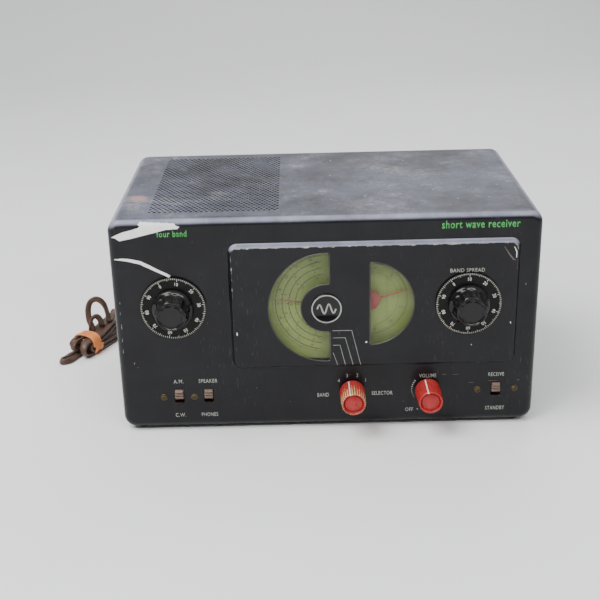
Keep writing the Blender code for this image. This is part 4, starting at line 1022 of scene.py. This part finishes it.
def make_dial_prints():
    """Four scales on the half ring and one round the half disc, with ticks and numbers."""
    out = DIAL_OUT + PRINT
    main = Print("main_dial_print", DIAL_INK, "receiver", out)
    bands = ((0.0392, 31, (30, 25, 20, 18, 16, 14, 12, 11, 10)), (0.0340, 25, (12, 10, 9, 8, 7, 6)),
             (0.0288, 21, (5, 4, 3.5, 3, 2)), (0.0236, 17, (16, 14, 12, 9, 6)))
    for radius, ticks, numbers in bands:
        main.curve(MAIN, radius, 96, 264, 0.00042)
        for i in range(ticks):
            angle = -12 - 156 * i / (ticks - 1)
            long = 0.0017 if i % 5 == 0 else 0.0010
            main.stroke(polar(MAIN, radius, angle), polar(MAIN, radius + long, angle), 0.00046)
        for i, number in enumerate(numbers):
            angle = -18 - 144 * i / (len(numbers) - 1)
            place = polar(MAIN, radius - 0.0018, angle)
            main.text(str(number), *place, 0.0021, weight=0.01, angle=angle + (180 if angle < -90 else 0))
    main.curve(MAIN, 0.0415, 92, 268, 0.0002)
    main.done()

    spread = Print("spread_dial_print", DIAL_INK, "receiver", out)
    spread.curve(SPREAD_DIAL, 0.0296, -84, 84, 0.00024)
    spread.curve(SPREAD_DIAL, 0.0225, -82, 82, 0.0002)
    for i in range(51):
        angle = 8 + 164 * i / 50
        long = 0.0022 if i % 10 == 0 else (0.0016 if i % 5 == 0 else 0.0010)
        spread.stroke(polar(SPREAD_DIAL, 0.0296, angle), polar(SPREAD_DIAL, 0.0296 - long, angle), 0.00022)
    for i in range(6):
        angle = 10 + 160 * i / 5
        spread.text(str(i * 20), *polar(SPREAD_DIAL, 0.0256, angle), 0.0019, angle=angle - 90)
    x, z = SPREAD_DIAL
    for right in (0.0132, 0.0146):
        spread.stroke((x + right, z - 0.020), (x + right, z + 0.020), 0.00018)
    spread.done()


def make_pointer(name, body, middle, reach, angle, hub, look):
    """A flat hub with a long thin tapering blade, angle in degrees anticlockwise from +X."""
    direction = np.array([math.cos(math.radians(angle)), math.sin(math.radians(angle))])
    side = np.array([-direction[1], direction[0]])
    spread = math.degrees(math.asin(0.0007 / hub))
    ring = arc(middle, hub, angle + spread, angle + 360 - spread, 60)
    tip = [middle + direction * reach - side * 0.00025, middle + direction * reach + side * 0.00025]
    outline = np.concatenate([ring, np.array(tip)])
    skin = Skin()
    skin.fill([outline], at_out(POINTER_FRONT))
    skin.fill([outline], at_out(POINTER_BACK))
    skin.loft([front(outline[:, 0], outline[:, 1], out) for out in (POINTER_BACK, POINTER_FRONT)])
    part = piece(name, *skin.joined(), look, body)
    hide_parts(name)


make_dial_prints()
for body, middle in (("main_gang", MAIN), ("spread_gang", SPREAD_DIAL)):
    hub_cap = [(0.0, -0.0036), (0.0032, -0.0036), (0.0036, -0.0040), (0.0036, -0.0050), (0.0, -0.0050)]
    lathe(body + "_hub_cap", POINTER, middle, hub_cap, body, 32)
make_pointer("main_pointer", "main_gang", np.array(MAIN), MAIN_OUTER - POINTER_CLEARANCE, 173.0, 0.0080,
             BROWN_POINTER)
make_pointer("spread_pointer", "spread_gang", np.array(SPREAD_DIAL), SPREAD_RADIUS - POINTER_CLEARANCE, 14.0, 0.0085,
             POINTER)


# --- Emblem --------------------------------------------------------------------------------------------
def make_emblem():
    """A round black badge with a raised light ring and one wave across it."""
    base = RAISE + 0.0003
    face, rim = base + 0.0009, base + 0.0012
    disc = [(0.0, face), (0.0100, face), (0.0104, rim), (0.0117, rim), (0.0120, face), (0.0120, base),
            (0.0, base)]
    badge = lathe("badge", BAKELITE, MAIN, disc, steps=96)
    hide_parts("emblem")
    mark = Print("badge_print", LETTER, "receiver", rim + PRINT)
    mark.curve(MAIN, 0.0111, 0, 360, 0.0010, 96)
    mark.done()
    wave = Print("badge_wave", LETTER, "receiver", face + PRINT)
    reach = 0.0072
    x = np.linspace(-reach, reach, 60)
    z = 0.0042 * np.sin(x / reach * 2 * math.pi) * (1 - 0.25 * np.abs(x) / reach)
    slope = np.gradient(z, x)
    normal = np.stack([-slope, np.ones_like(x)], axis=-1) / np.sqrt(1 + slope ** 2)[:, None]
    middle = np.stack([MAIN[0] + x, MAIN[1] + z], axis=-1)
    edges = np.stack([middle - normal * 0.0006, middle + normal * 0.0006])
    wave.skin.add(front(edges[..., 0], edges[..., 1], wave.out), grid_faces(2, len(x)))
    wave.done()


make_emblem()


# --- Panel lettering -----------------------------------------------------------------------------------
def make_lettering():
    """Words and numbers by the controls, and the lines from the badge to the range switch."""
    words = Print("panel_words", LETTER, "receiver", PRINT)
    left, middle, right = SWITCH_PLACES
    for text, x, z, width in (
        ("A.M.", left, 0.0440, 0.0078), ("C.W.", left, 0.0143, 0.0082),
        ("SPEAKER", middle, 0.0440, 0.0148), ("PHONES", middle, 0.0143, 0.0130),
        ("RECEIVE", right, 0.0440, 0.0124), ("STANDBY", right, 0.0143, 0.0152),
        ("BAND", MAIN[0] - 0.0035, 0.0293, 0.0091), ("SELECTOR", MAIN[0] + 0.0433, 0.0298, 0.0165),
        ("VOLUME", VOLUME[0], 0.0441, 0.0133), ("OFF", VOLUME[0] - 0.0143, 0.0146, 0.0062),
    ):
        words.text(text, x, z, 0.0033, width, weight=0.008)
    for number, angle in zip("4321", (-49, -16.7, 16.7, 49)):
        words.text(number, *polar(SELECTOR, 0.0141, angle), 0.0031)
    dot = polar(VOLUME, 0.0192, -156)
    words.polygon(circle(dot, 0.0006, 24))
    for i in range(9):
        words.polygon(circle(polar(VOLUME, 0.0126, -122 + 8.6 * i), 0.00025 + 0.00005 * i, 18))
    words.done()

    spread = Print("spread_words", LETTER, "receiver", RAISE + PRINT)
    spread.text("BAND SPREAD", BAND_SPREAD[0] - 0.0015, 0.1338, 0.0031, 0.0262, weight=0.010)
    x, z = MAIN
    for knees in (
        ((0.0042, -0.0188), (0.0192, -0.0188), (0.0261, -0.0482)),
        ((0.0047, -0.0249), (0.0142, -0.0249), (0.0202, -0.0482)),
        ((0.0047, -0.0311), (0.0101, -0.0311), (0.0142, -0.0482)),
        ((0.0047, -0.0375), (0.0082, -0.0482)),
    ):
        for a, b in zip(knees, knees[1:]):
            spread.stroke((x + a[0], z + a[1]), (x + b[0], z + b[1]), 0.00035)
    spread.done()

    green = Print("green_words", GREEN_LETTER, "receiver", PRINT)
    green.text("short wave receiver", 0.1165, 0.1690, 0.0062, 0.0585, weight=0.014)
    green.text("four band", -0.1150, 0.1668, 0.0050, 0.0225, weight=0.014)
    green.done()


make_lettering()


# --- Knobs and skirts ----------------------------------------------------------------------------------
def make_skirt(name, body, middle, base, first):
    """A thin black disc with a hundred ticks and ten numbers round its rim; first is where 0 stands."""
    r, top = 0.0252, base + 0.0012
    profile = [(0.0, base), (r - 0.0004, base), (r, base + 0.0004), (r, top - 0.0004), (r - 0.0003, top),
               (r - 0.0010, top), (0.0185, top - 0.0001), (0.0170, top), (0.0, top)]
    disc = lathe(name, SKIRT, middle, profile, body, 128)
    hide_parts(name)
    marks = Print(name + "_marks", SKIRT_PRINT, body, top + PRINT)
    for i in range(100):
        angle = first + 3.6 * i
        long = 0.0026 if i % 10 == 0 else (0.0019 if i % 5 == 0 else 0.0013)
        marks.stroke(polar(middle, r - 0.0003, angle), polar(middle, r - 0.0003 - long, angle), 0.00036)
    for i in range(10):
        angle = first + 36 * i
        marks.text(str(10 * i), *polar(middle, r - 0.0050, angle), 0.0027, angle=angle, weight=0.012)
    marks.done()


def make_big_knob(name, body, middle, base, top, turn):
    """A glossy moulded knob: a wide flange with a round shoulder, a fluted body and a grooved flat face."""
    profile = [
        (0.0, base), (0.0154, base), (0.0158, base + 0.0003), (0.0160, base + 0.0008), (0.0160, base + 0.0026),
        (0.0159, base + 0.0032), (0.0155, base + 0.0040), (0.0149, base + 0.0046), (0.0142, base + 0.0051),
        (0.0137, base + 0.0056), (0.0134, base + 0.0064), (0.0132, base + 0.0078), (0.0130, base + 0.0100),
        (0.0127, top - 0.0042), (0.0125, top - 0.0026), (0.0122, top - 0.0014), (0.0117, top - 0.0006),
        (0.0111, top - 0.0001), (0.0106, top), (0.0104, top - 0.0001), (0.0102, top - 0.0005),
        (0.0098, top - 0.0010), (0.0093, top - 0.0011), (0.0088, top - 0.0009), (0.0084, top - 0.0006),
        (0.0060, top - 0.0010), (0.0030, top - 0.0012), (0.0, top - 0.0013),
    ]

    def flutes(angle, along):
        """Eight broad hollows down the body that die away at the shoulder and the face."""
        wave = 0.5 - 0.5 * np.cos(8 * (angle - turn))
        held = step(along, base + 0.0042, base + 0.0070) * (1 - step(along, top - 0.0016, top - 0.0001))
        return -0.0013 * wave ** 1.6 * held

    part = lathe(name, BAKELITE, middle, profile, body, 192, ribs=flutes, sharp=60)
    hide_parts(name)


def make_red_knob(name, body, middle, look, index):
    """A slim ribbed knob with a recessed disc in its face and a light line down its side, at index degrees."""
    base, top, r, count = 0.0015, 0.024, 0.0101, 30
    profile = [
        (0.0, base), (r * 0.96, base), (r * 0.99, base + 0.0004), (r, base + 0.0012), (r, base + 0.0020),
        (r * 0.995, base + 0.0045), (r * 0.985, base + 0.0080), (r * 0.970, base + 0.0130),
        (r * 0.955, top - 0.0040), (r * 0.945, top - 0.0022), (r * 0.935, top - 0.0012), (r * 0.905, top - 0.0004),
        (r * 0.86, top), (r * 0.80, top), (r * 0.775, top - 0.0003), (r * 0.765, top - 0.0016),
        (r * 0.72, top - 0.0019), (r * 0.70, top - 0.0015), (r * 0.66, top - 0.0012), (0.0, top - 0.0012),
    ]

    def ribs(angle, along):
        """Fine ribs, lost before the base and the rounded front edge."""
        held = step(along, base + 0.0006, base + 0.0016) * (1 - step(along, top - 0.0022, top - 0.0004))
        return -0.00034 * (0.5 - 0.5 * np.cos(count * angle)) ** 1.2 * held

    part = lathe(name, look, middle, profile, body, 240, ribs=ribs, sharp=50)
    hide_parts(name)

    # Rubbed most on the crests of the ribs and towards the front, and not in the recessed face.
    points = np.zeros(len(part.data.vertices) * 3)
    part.data.vertices.foreach_get("co", points)
    points = points.reshape(-1, 3)
    x, z, out = points[:, 0] - middle[0], points[:, 2] - middle[1], PANEL_Y - points[:, 1]
    crest = 0.5 + 0.5 * np.cos(count * np.arctan2(z, x))
    forward = step(out, base + 0.004, top - 0.002) * (1 - step(out, top - 0.0004, top + 0.0002) * 0.6)
    recessed = np.hypot(x, z) < r * 0.80
    set_wear(part.data, np.where(recessed, 0.0, (0.35 + 0.65 * crest) * (0.45 + 0.55 * forward)))

    # The line is a strip up the side and over the front edge.
    a = math.radians(90 - index)
    along = np.array([math.cos(a), math.sin(a)])
    side = np.array([-along[1], along[0]])
    rows = []
    for radius, out in (
        (r * 1.002, base + 0.0020), (r * 0.993, base + 0.0075), (r * 0.975, base + 0.0130),
        (r * 0.955, top - 0.0030), (r * 0.925, top - 0.0007), (r * 0.875, top + 0.0001), (r * 0.79, top + 0.0001),
    ):
        for half in (-0.00055, 0.00055):
            x, z = middle + along * (radius + 0.0001) + side * half
            rows.append(front(x, z, out))
    line = piece(name + "_line", rows, grid_faces(len(rows) // 2, 2), INDEX_WHITE, body)
    thicken(line, 0.0003)


make_skirt("tuning_skirt", "tuning", TUNING, SKIRT_BASE, -25.5)
make_skirt("band_spread_skirt", "band_spread", BAND_SPREAD, RAISE + SKIRT_BASE, -36.0)
make_big_knob("tuning_knob", "tuning", TUNING, KNOB_BASE, KNOB_TOP, 0.2)
make_big_knob("band_spread_knob", "band_spread", BAND_SPREAD, RAISE + KNOB_BASE, RAISE + KNOB_TOP, 0.35)
make_red_knob("selector_knob", "selector", SELECTOR, WORN_RED, -17.0)
make_red_knob("volume_knob", "volume", VOLUME, PLAIN_RED, -14.0)


# --- Slide switches ------------------------------------------------------------------------------------
def make_slider(name, body, node, x):
    """A small brown slider: a rounded block with three ridges across it, in the panel's slot."""
    low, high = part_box(node)
    z0, z1, out = low.z, high.z, PANEL_Y - low.y
    middle, half = (z0 + z1) / 2, (z1 - z0) / 2
    t = np.linspace(-1, 1, 61)
    ridge = 0.5 + 0.5 * np.cos(t * math.pi * 3.5)
    crown = out - 0.0011 + 0.0011 * ridge ** 0.8
    crown = crown - 0.0010 * step(np.abs(t), 0.86, 1.0)
    section = np.concatenate([
        np.stack([middle + half * t, crown], axis=-1), [(z1, 0.0), (z1, -0.0010), (z0, -0.0010), (z0, 0.0)]
    ])
    w, bevel = (high.x - low.x) / 2, 0.0004
    sides = ((-w, 0.97, bevel), (-w + bevel, 1.0, 0.0), (w - bevel, 1.0, 0.0), (w, 0.97, bevel))
    rings = [front(x + side, middle + (section[:, 0] - middle) * shrink, section[:, 1] - drop)
             for side, shrink, drop in sides]
    skin = Skin()
    skin.loft(rings)
    for end in (rings[0], rings[-1]):
        skin.add(end, [list(range(len(end)))])
    part = piece(name, *skin.joined(), BROWN, body, sharp=35)
    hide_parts(node)


for node, body, x in zip(("mode_slider", "speaker_slider", "standby_slider"),
                         ("mode_switch", "speaker_switch", "standby_switch"), SWITCH_PLACES):
    make_slider(node + "_cap", body, node, x)


def make_screws():
    """Four dull hexagon-headed eyelets beside the slide switches, each turned a little further round."""
    r = 0.0024
    washer = [(0.0, 0.0001), (0.0028, 0.0001), (0.0029, 0.0003), (0.0026, 0.0006), (0.0, 0.0006)]
    head = [(0.0, 0.0005), (r, 0.0006), (r, 0.0013), (0.0020, 0.0017), (0.0012, 0.0017), (0.0011, 0.0011),
            (0.0, 0.0011)]
    places = ((-0.1298, 0.0304), (-0.1057, 0.0304), (0.1189, 0.0311), (0.1480, 0.0315))
    for number, place in enumerate(places, 1):
        lathe(f"switch_washer_{number}", OLD_BRASS, place, washer, steps=40)

        def flats(angle, along):
            """Cuts a round head down to six flats."""
            corner = np.mod(angle + number * 0.4, math.pi / 3) - math.pi / 6
            return r * (math.cos(math.pi / 6) / np.cos(corner) - 1) * step(along, 0.0004, 0.0005)

        lathe(f"switch_screw_{number}", OLD_BRASS, place, head, steps=48, ribs=flats)


make_screws()


# --- Feet ----------------------------------------------------------------------------------------------
for number in range(1, 5):
    low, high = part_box(f"foot_{number}")
    place = ((low.x + high.x) / 2, (low.y + high.y) / 2)
    profile = [(0.0, 0.0), (0.0054, 0.0), (0.0060, 0.0003), (0.0069, high.z - 0.0004), (0.0068, high.z),
               (0.0, high.z)]
    foot = lathe(f"rubber_foot_{number}", RUBBER, place, profile, steps=48, upright=True)
    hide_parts(f"foot_{number}")


# --- Mains lead ----------------------------------------------------------------------------------------
def on_floor(points):
    """(x, depth, height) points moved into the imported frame, depth being measured back from the panel."""
    return np.asarray(points, float) + [0.0, PANEL_Y, 0.0]


LEAD = on_floor([
    (-0.0950, 0.1916, 0.0240), (-0.0952, 0.2020, 0.0236), (-0.0975, 0.2110, 0.0205), (-0.1025, 0.2190, 0.0145),
    (-0.1105, 0.2245, 0.0075), (-0.1215, 0.2275, 0.0040), (-0.1350, 0.2280, 0.0031), (-0.1490, 0.2265, 0.0031),
    (-0.1620, 0.2235, 0.0033), (-0.1725, 0.2190, 0.0042),
])
TAIL = on_floor([
    (-0.1895, 0.2285, 0.0045), (-0.1810, 0.2390, 0.0034), (-0.1690, 0.2480, 0.0031), (-0.1540, 0.2545, 0.0031),
    (-0.1370, 0.2580, 0.0031), (-0.1190, 0.2590, 0.0031), (-0.1010, 0.2575, 0.0031), (-0.0840, 0.2545, 0.0035),
    (-0.0690, 0.2512, 0.0055), (-0.0590, 0.2492, 0.0076), (-0.0505, 0.2485, 0.0087),
])
LEAD_WIDTH, LEAD_HEIGHT = 0.0055, 0.0030
LEAD_SPACING = 0.0018  # between the lead's rings

# The hank lies on the floor at the left. Its strands lie in columns and levels, tied near its front end.
HANK_FRONT = np.array([-0.235, 0.126 + PANEL_Y])
HANK_ALONG = np.array([0.451, 0.892])
HANK_SIDE = np.array([0.892, -0.451])


def hank(s, t, z):
    """A place in the tied hank: s along it from its front end, t to its right, z up."""
    x, y = HANK_FRONT + HANK_ALONG * s + HANK_SIDE * t
    return x, y, z


COLUMNS = (-0.0080, -0.0027, 0.0027, 0.0080)
LEVELS = (0.0021, 0.0062, 0.0105, 0.0150)
# Each strand as (column, level). Even ones run forwards and odd ones back, and two stand up in a loop.
STRANDS = ((0, 0), (1, 0), (1, 3), (1, 1), (2, 3), (2, 0), (3, 0), (3, 3), (3, 2), (3, 1), (0, 3), (0, 1))
# How far along the hank each turn's end lies, and how far the front turns lean sideways.
FRONT_REACH = (0.0012, 0.0165, 0.0205, 0.0172, 0.0265, 0.0215)
BACK_REACH = (0.1000, 0.0965, 0.0905, 0.0940, 0.0920)
FRONT_SKEW = (0.0, -0.0012, 0.0008, -0.0006, 0.0004, -0.0010)
LOOPS = {
    3: ((0.0440, -0.0010, 0.0190), (0.0455, -0.0050, 0.0270), (0.0475, -0.0066, 0.0370), (0.0505, -0.0050, 0.0440),
        (0.0545, -0.0004, 0.0456), (0.0580, 0.0042, 0.0400), (0.0600, 0.0058, 0.0300), (0.0620, 0.0054, 0.0215),
        (0.0700, 0.0040, 0.0190), (0.0830, 0.0035, 0.0190)),
    10: ((0.0425, -0.0030, 0.0150), (0.0440, -0.0032, 0.0220), (0.0465, -0.0020, 0.0290), (0.0495, 0.0008, 0.0304),
         (0.0520, 0.0028, 0.0260), (0.0540, 0.0028, 0.0190), (0.0620, 0.0000, 0.0145), (0.0750, -0.0020, 0.0150)),
}


def splay(z):
    """How a strand at level z lies behind the band, (lift, spread): upper ones rise and draw together."""
    return (0.0060, 0.70) if z > 0.008 else (0.0, 1.05)


def turn_knots(a, b, end, outward):
    """A round turn from strand a to strand b, each (t, z), that reaches s = end, bulging outward, 1 or -1."""
    (t0, z0), (t1, z1) = a, b
    middle = np.array([(t0 + t1) / 2, (z0 + z1) / 2])
    half = np.array([t1 - t0, z1 - z0]) / 2
    half *= max(1.0, 0.0044 / np.linalg.norm(half))
    rows = []
    for angle in (-80, -45, 0, 45, 80):
        a = math.radians(angle)
        t, z = middle + half * math.sin(a)
        rows.append((end - outward * 0.0095 * (1 - math.cos(a)), t, max(z, 0.0019)))
    return rows


def hank_knots():
    """The folded lead: strands to and fro through the rubber band, with a round turn at each end."""
    shake = np.random.default_rng(7)
    places = [(COLUMNS[column], LEVELS[level]) for column, level in STRANDS]
    knots = []
    for i, (t, z) in enumerate(places):
        shift = shake.uniform(-0.0005, 0.0005, 4)
        strand = [(0.0300, t * 1.05 + shift[0], z), (0.0390, t, z)]
        if i in LOOPS:
            strand += LOOPS[i]
        else:
            lift, spread = splay(z)
            strand += [
                (0.0470, t + shift[1], z + lift * 0.15),
                (0.0620, t * (1 + spread) / 2 + shift[2], z + lift * 0.6),
                (0.0780, t * spread + shift[3], z + lift),
            ]
        if i % 2 == 0:
            strand = strand[::-1]
        knots += strand
        if i == len(places) - 1:
            break
        next_t, next_z = places[i + 1]
        if i % 2 == 0:
            skew = FRONT_SKEW[i // 2]
            knots += turn_knots((t + skew, z), (next_t + skew, next_z), FRONT_REACH[i // 2], -1)
        else:
            lift, spread = splay(next_z)
            knots += turn_knots(strand[-1][1:], (next_t * spread, next_z + lift), BACK_REACH[i // 2], 1)
    return [hank(*knot) for knot in knots]


def carried(path, start):
    """A flat lead's width direction all along its path, and how far it is rolled on edge there.

    It is carried on from ring to ring without twisting and eased back to level. Where the path bends in the
    lead's own plane, the lead rolls on edge, by as much as the bend is tight.
    """
    along = np.gradient(path, axis=0)
    along /= np.linalg.norm(along, axis=1)[:, None]
    across = np.zeros_like(path)
    held = np.asarray(start, float)
    for i, ahead in enumerate(along):
        level = np.array([-ahead[1], ahead[0], 0.0])
        held = held + 0.06 * level * np.sign(held @ level)
        held = held - ahead * (held @ ahead)
        held /= np.linalg.norm(held)
        across[i] = held
    bend = np.gradient(along, axis=0) / LEAD_SPACING
    edge = (bend * across).sum(1)
    tightness = np.clip(np.abs(edge) / 90.0, 0, 1)
    window = np.hanning(15) / np.hanning(15).sum()
    share = np.convolve(np.pad(tightness, 7, mode="edge"), window, mode="valid")
    roll = math.radians(75) * share
    up = np.cross(along, across)
    return across * np.cos(roll)[:, None] + up * np.sin(roll)[:, None], roll


def make_lead():
    """The flat two-core lead in one length, from the back cover through its hank to the plug, with its groove."""
    arrive, leave = hank(0.0960, -0.0040, 0.0028), hank(0.0960, -0.0060, 0.0080)
    knots = np.concatenate([LEAD[:-1], [arrive], hank_knots(), [leave], TAIL])
    path = smooth_path(knots, LEAD_SPACING)
    across, roll = carried(path, (1.0, 0.0, 0.0))
    path[:, 2] = np.maximum(path[:, 2], 0.0016 + 0.0012 * np.sin(roll))
    steps = 14
    rings = tube_rings(path, LEAD_WIDTH, LEAD_HEIGHT, across, steps)
    groove = 1 - 0.16 * np.abs(np.sin(np.linspace(0, 2 * math.pi, steps, endpoint=False))) ** 8
    rings = path[:, None] + (rings - path[:, None]) * groove[None, :, None]
    rings[..., 2] = np.maximum(rings[..., 2], 0.0002)
    points, faces = capped(rings)
    length = float(np.linalg.norm(np.diff(path, axis=0), axis=1).sum())
    lead = piece("mains_lead", points, faces, CORD_BROWN, sharp=70)
    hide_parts("power_cord", "cord_tail", "cord_hank")
    return lead, path, length


def make_band():
    """The rubber band: five turns of a squared oval round the hank, creeping back along it."""
    whole, middle = 10 * math.pi, 0.0094
    a = np.linspace(0, whole, 480)
    t = 0.0120 * np.abs(np.cos(a)) ** 0.75 * np.sign(np.cos(a))
    z = 0.0092 * np.abs(np.sin(a)) ** 0.75 * np.sign(np.sin(a))
    puff = 1 + 0.05 * np.sin(a * 0.2 + 0.4)
    t, z = t * puff, middle + z * puff
    s = 0.0290 + 0.0105 * a / whole + 0.0010 * np.sin(a * 0.5)
    flat = HANK_FRONT + HANK_ALONG * s[:, None] + HANK_SIDE * t[:, None]
    path = np.concatenate([flat, z[:, None]], axis=1)
    across = np.broadcast_to(np.array([HANK_ALONG[0], HANK_ALONG[1], 0.0]), path.shape)
    rings = tube_rings(path, 0.0034, 0.0016, across, 10)
    rings[..., 2] = np.maximum(rings[..., 2], 0.0001)
    points, faces = capped(rings)
    return piece("rubber_band", points, faces, BAND_ORANGE)


def make_grommet():
    """The rubber bush that the lead leaves the back cover through, with three rings."""
    low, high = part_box("cord_grommet")
    middle = ((low.x + high.x) / 2, (low.z + high.z) / 2)
    start, tip = PANEL_Y - low.y, PANEL_Y - high.y
    rows = [(0.0, start), (0.0055, start)]
    rows += [(radius, COVER_OUT - behind) for radius, behind in (
        (0.0055, 0.0), (0.0074, 0.0003), (0.0074, 0.0020), (0.0060, 0.0024), (0.0052, 0.0034), (0.0056, 0.0040),
        (0.0048, 0.0048), (0.0050, 0.0054),
    )]
    rows += [(0.0040, tip), (0.0, tip)]
    bush = lathe("lead_bush", RUBBER, middle, rows, steps=48)
    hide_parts("cord_grommet")
    return bush


def make_plug():
    """A moulded two-blade plug lying at the end of the lead, its blades towards +X."""
    low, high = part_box("plug")
    y, z = (low.y + high.y) / 2, (low.z + high.z) / 2
    widest = round_outline((-0.0105, -0.0085), (0.0105, 0.0085), 0.0060, 8)
    rows = []
    for along, wide, tall in (
        (0.0, 0.20, 0.22), (0.0004, 0.30, 0.32), (0.0030, 0.34, 0.36), (0.0060, 0.44, 0.46), (0.0090, 0.70, 0.72),
        (0.0110, 0.88, 0.86), (0.0130, 0.97, 0.95), (0.0150, 1.0, 1.0), (0.0185, 1.0, 1.0), (0.0195, 0.96, 0.95),
        (0.0198, 0.90, 0.88),
    ):
        across, up = (widest * [wide, tall]).T
        rows.append(np.stack([np.full(len(across), low.x + along), y + across, z + up], axis=-1))
    points, faces = capped(np.array(rows))
    body = piece("plug_body", points, faces, CORD_BROWN, sharp=50)
    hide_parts("plug")
    outline = round_outline((low.x + 0.0190, -0.0031), (high.x, 0.0031), 0.0012, 4)
    hole = circle((high.x - 0.0035, 0.0), 0.0014, 16)
    blades = []
    for name, side in (("plug_blade_near", -0.0062), ("plug_blade_far", 0.0062)):
        skin = Skin()
        skin.fill([outline, hole], lambda p: np.stack(
            [p[:, 0], np.full(len(p), y + side + 0.0007), z + p[:, 1]], axis=-1,
        ))
        blade = piece(name, *skin.joined(), BRASS)
        thicken(blade, 0.0014, 0.0)
        blades.append(blade)
    return [body] + blades


lead, lead_path, lead_length = make_lead()
band = make_band()
plug_pieces = make_plug()
plug_pieces + [band, make_grommet()]


# --- Back ----------------------------------------------------------------------------------------------
def make_terminals():
    """Three brass screw terminals on the aerial strip, with their letters, and the cover's fixing screws."""
    face = PANEL_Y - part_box("antenna_strip")[1].y + 0.0030
    rows = [(0.0, face + 0.0002), (0.0041, face + 0.0002), (0.0041, face - 0.0010), (0.0034, face - 0.0011),
            (0.0034, face - 0.0030), (0.0028, face - 0.0036), (0.0, face - 0.0037)]
    letters = Print("terminal_letters", LETTER, "receiver", COVER_OUT - PRINT)
    for number, (text, x) in enumerate((("G", 0.048), ("A", 0.064), ("A", 0.080)), 1):
        lathe(f"terminal_screw_{number}", BRASS, (x, 0.025), rows, steps=36)
        letters.text(text, -x, 0.0375, 0.0040, weight=0.01)
    letters.done(back=True)
    rows = [(0.0, COVER_OUT + 0.0005), (0.0036, COVER_OUT + 0.0005), (0.0036, COVER_OUT - 0.0001),
            (0.0030, COVER_OUT - 0.0010), (0.0018, COVER_OUT - 0.0016), (0.0, COVER_OUT - 0.0018)]
    for number, place in enumerate([(x, z) for x in (-0.150, 0.0, 0.150) for z in (0.0145, 0.1665)], 1):
        lathe(f"cover_screw_{number}", STEEL, place, rows, steps=36)


make_terminals()


# --- Stage ---------------------------------------------------------------------------------------------
def make_stage():
    """A pale floor that curves up into a backdrop by a quarter circle, a soft sky and four lamps."""
    a = np.linspace(0, 1, 25) * math.pi / 2
    start, radius = 1.4, 0.9
    y = np.concatenate([[-3.0, -1.0, start], start + radius * np.sin(a), [start + radius]])
    z = np.concatenate([[0.0, 0.0, 0.0], radius * (1 - np.cos(a)), [3.2]])
    x = np.linspace(-4, 4, 3)
    points = np.stack(np.broadcast_arrays(x[None], y[:, None], z[:, None]), axis=-1)
    mesh = bpy.data.meshes.new("floor")
    mesh.from_pydata(points.reshape(-1, 3).tolist(), [], grid_faces(len(y), 3).tolist())
    mesh.shade_smooth()
    floor = bpy.data.objects.new("floor", mesh)
    bpy.context.scene.collection.objects.link(floor)
    pale = aged("pale_floor", (252, 252, 250), 0.8, other=(247, 247, 245), dust=0.0, scale=3.0)
    mesh.materials.append(pale)
    world = bpy.data.worlds.new("studio")
    bpy.context.scene.world = world
    world.use_nodes = True
    tree = world.node_tree
    ahead = add(tree, "SeparateXYZ", {0: add(tree, "TexCoord").outputs["Generated"]})
    upper = ramp(tree, ahead.outputs[2], -0.1, 0.8, 0.25, 0.75)
    behind = ramp(tree, ahead.outputs[1], -0.8, 0.3, 0.35, 1.0)
    tree.links.new(times(tree, upper, behind), tree.nodes["Background"].inputs[1])
    tree.nodes["Background"].inputs[0].default_value = (0.80, 0.83, 0.90, 1.0)
    for name, place, aim, size, power in (
        ("key", (-0.9, -0.5, 1.7), (0.0, 0.0, 0.05), (1.1, 1.1), 36.0),
        ("fill", (1.3, -1.3, 0.9), (0.0, 0.0, 0.08), (1.2, 1.2), 3.0),
        ("rim", (0.4, 1.2, 1.3), (0.0, 0.0, 0.1), (0.9, 0.9), 9.0),
        ("overhead", (0.0, -1.20, 1.38), (0.0, -0.09, 0.17), (2.6, 0.30), 22.0),
    ):
        lamp = bpy.data.lights.new(name, "AREA")
        lamp.shape = "RECTANGLE"
        lamp.energy = power
        lamp.size, lamp.size_y = size
        holder = bpy.data.objects.new(name, lamp)
        holder.location = place
        holder.rotation_euler = (Vector(aim) - Vector(place)).to_track_quat("-Z", "Y").to_euler()
        bpy.context.scene.collection.objects.link(holder)


def make_camera():
    """The camera above the front edge, looking down at the panel; its angles are yaw, pitch and roll."""
    yaw, pitch, roll = (math.radians(v) for v in (-0.098, -22.149, -1.392))
    ahead = Vector((math.sin(yaw) * math.cos(pitch), math.cos(yaw) * math.cos(pitch), math.sin(pitch)))
    level = Vector((math.cos(yaw), -math.sin(yaw), 0.0))
    over = level.cross(ahead)
    right = level * math.cos(roll) + over * math.sin(roll)
    up = over * math.cos(roll) - level * math.sin(roll)
    turn = Matrix((right, up, -ahead)).transposed().to_4x4()
    data = bpy.data.cameras.new("camera")
    data.lens, data.sensor_width = 65.09, 36.0
    data.clip_start = 0.01
    camera = bpy.data.objects.new("camera", data)
    camera.matrix_world = Matrix.Translation((-0.0188, -0.8545, 0.4245)) @ turn
    bpy.context.scene.collection.objects.link(camera)
    bpy.context.scene.camera = camera


make_stage()
make_camera()
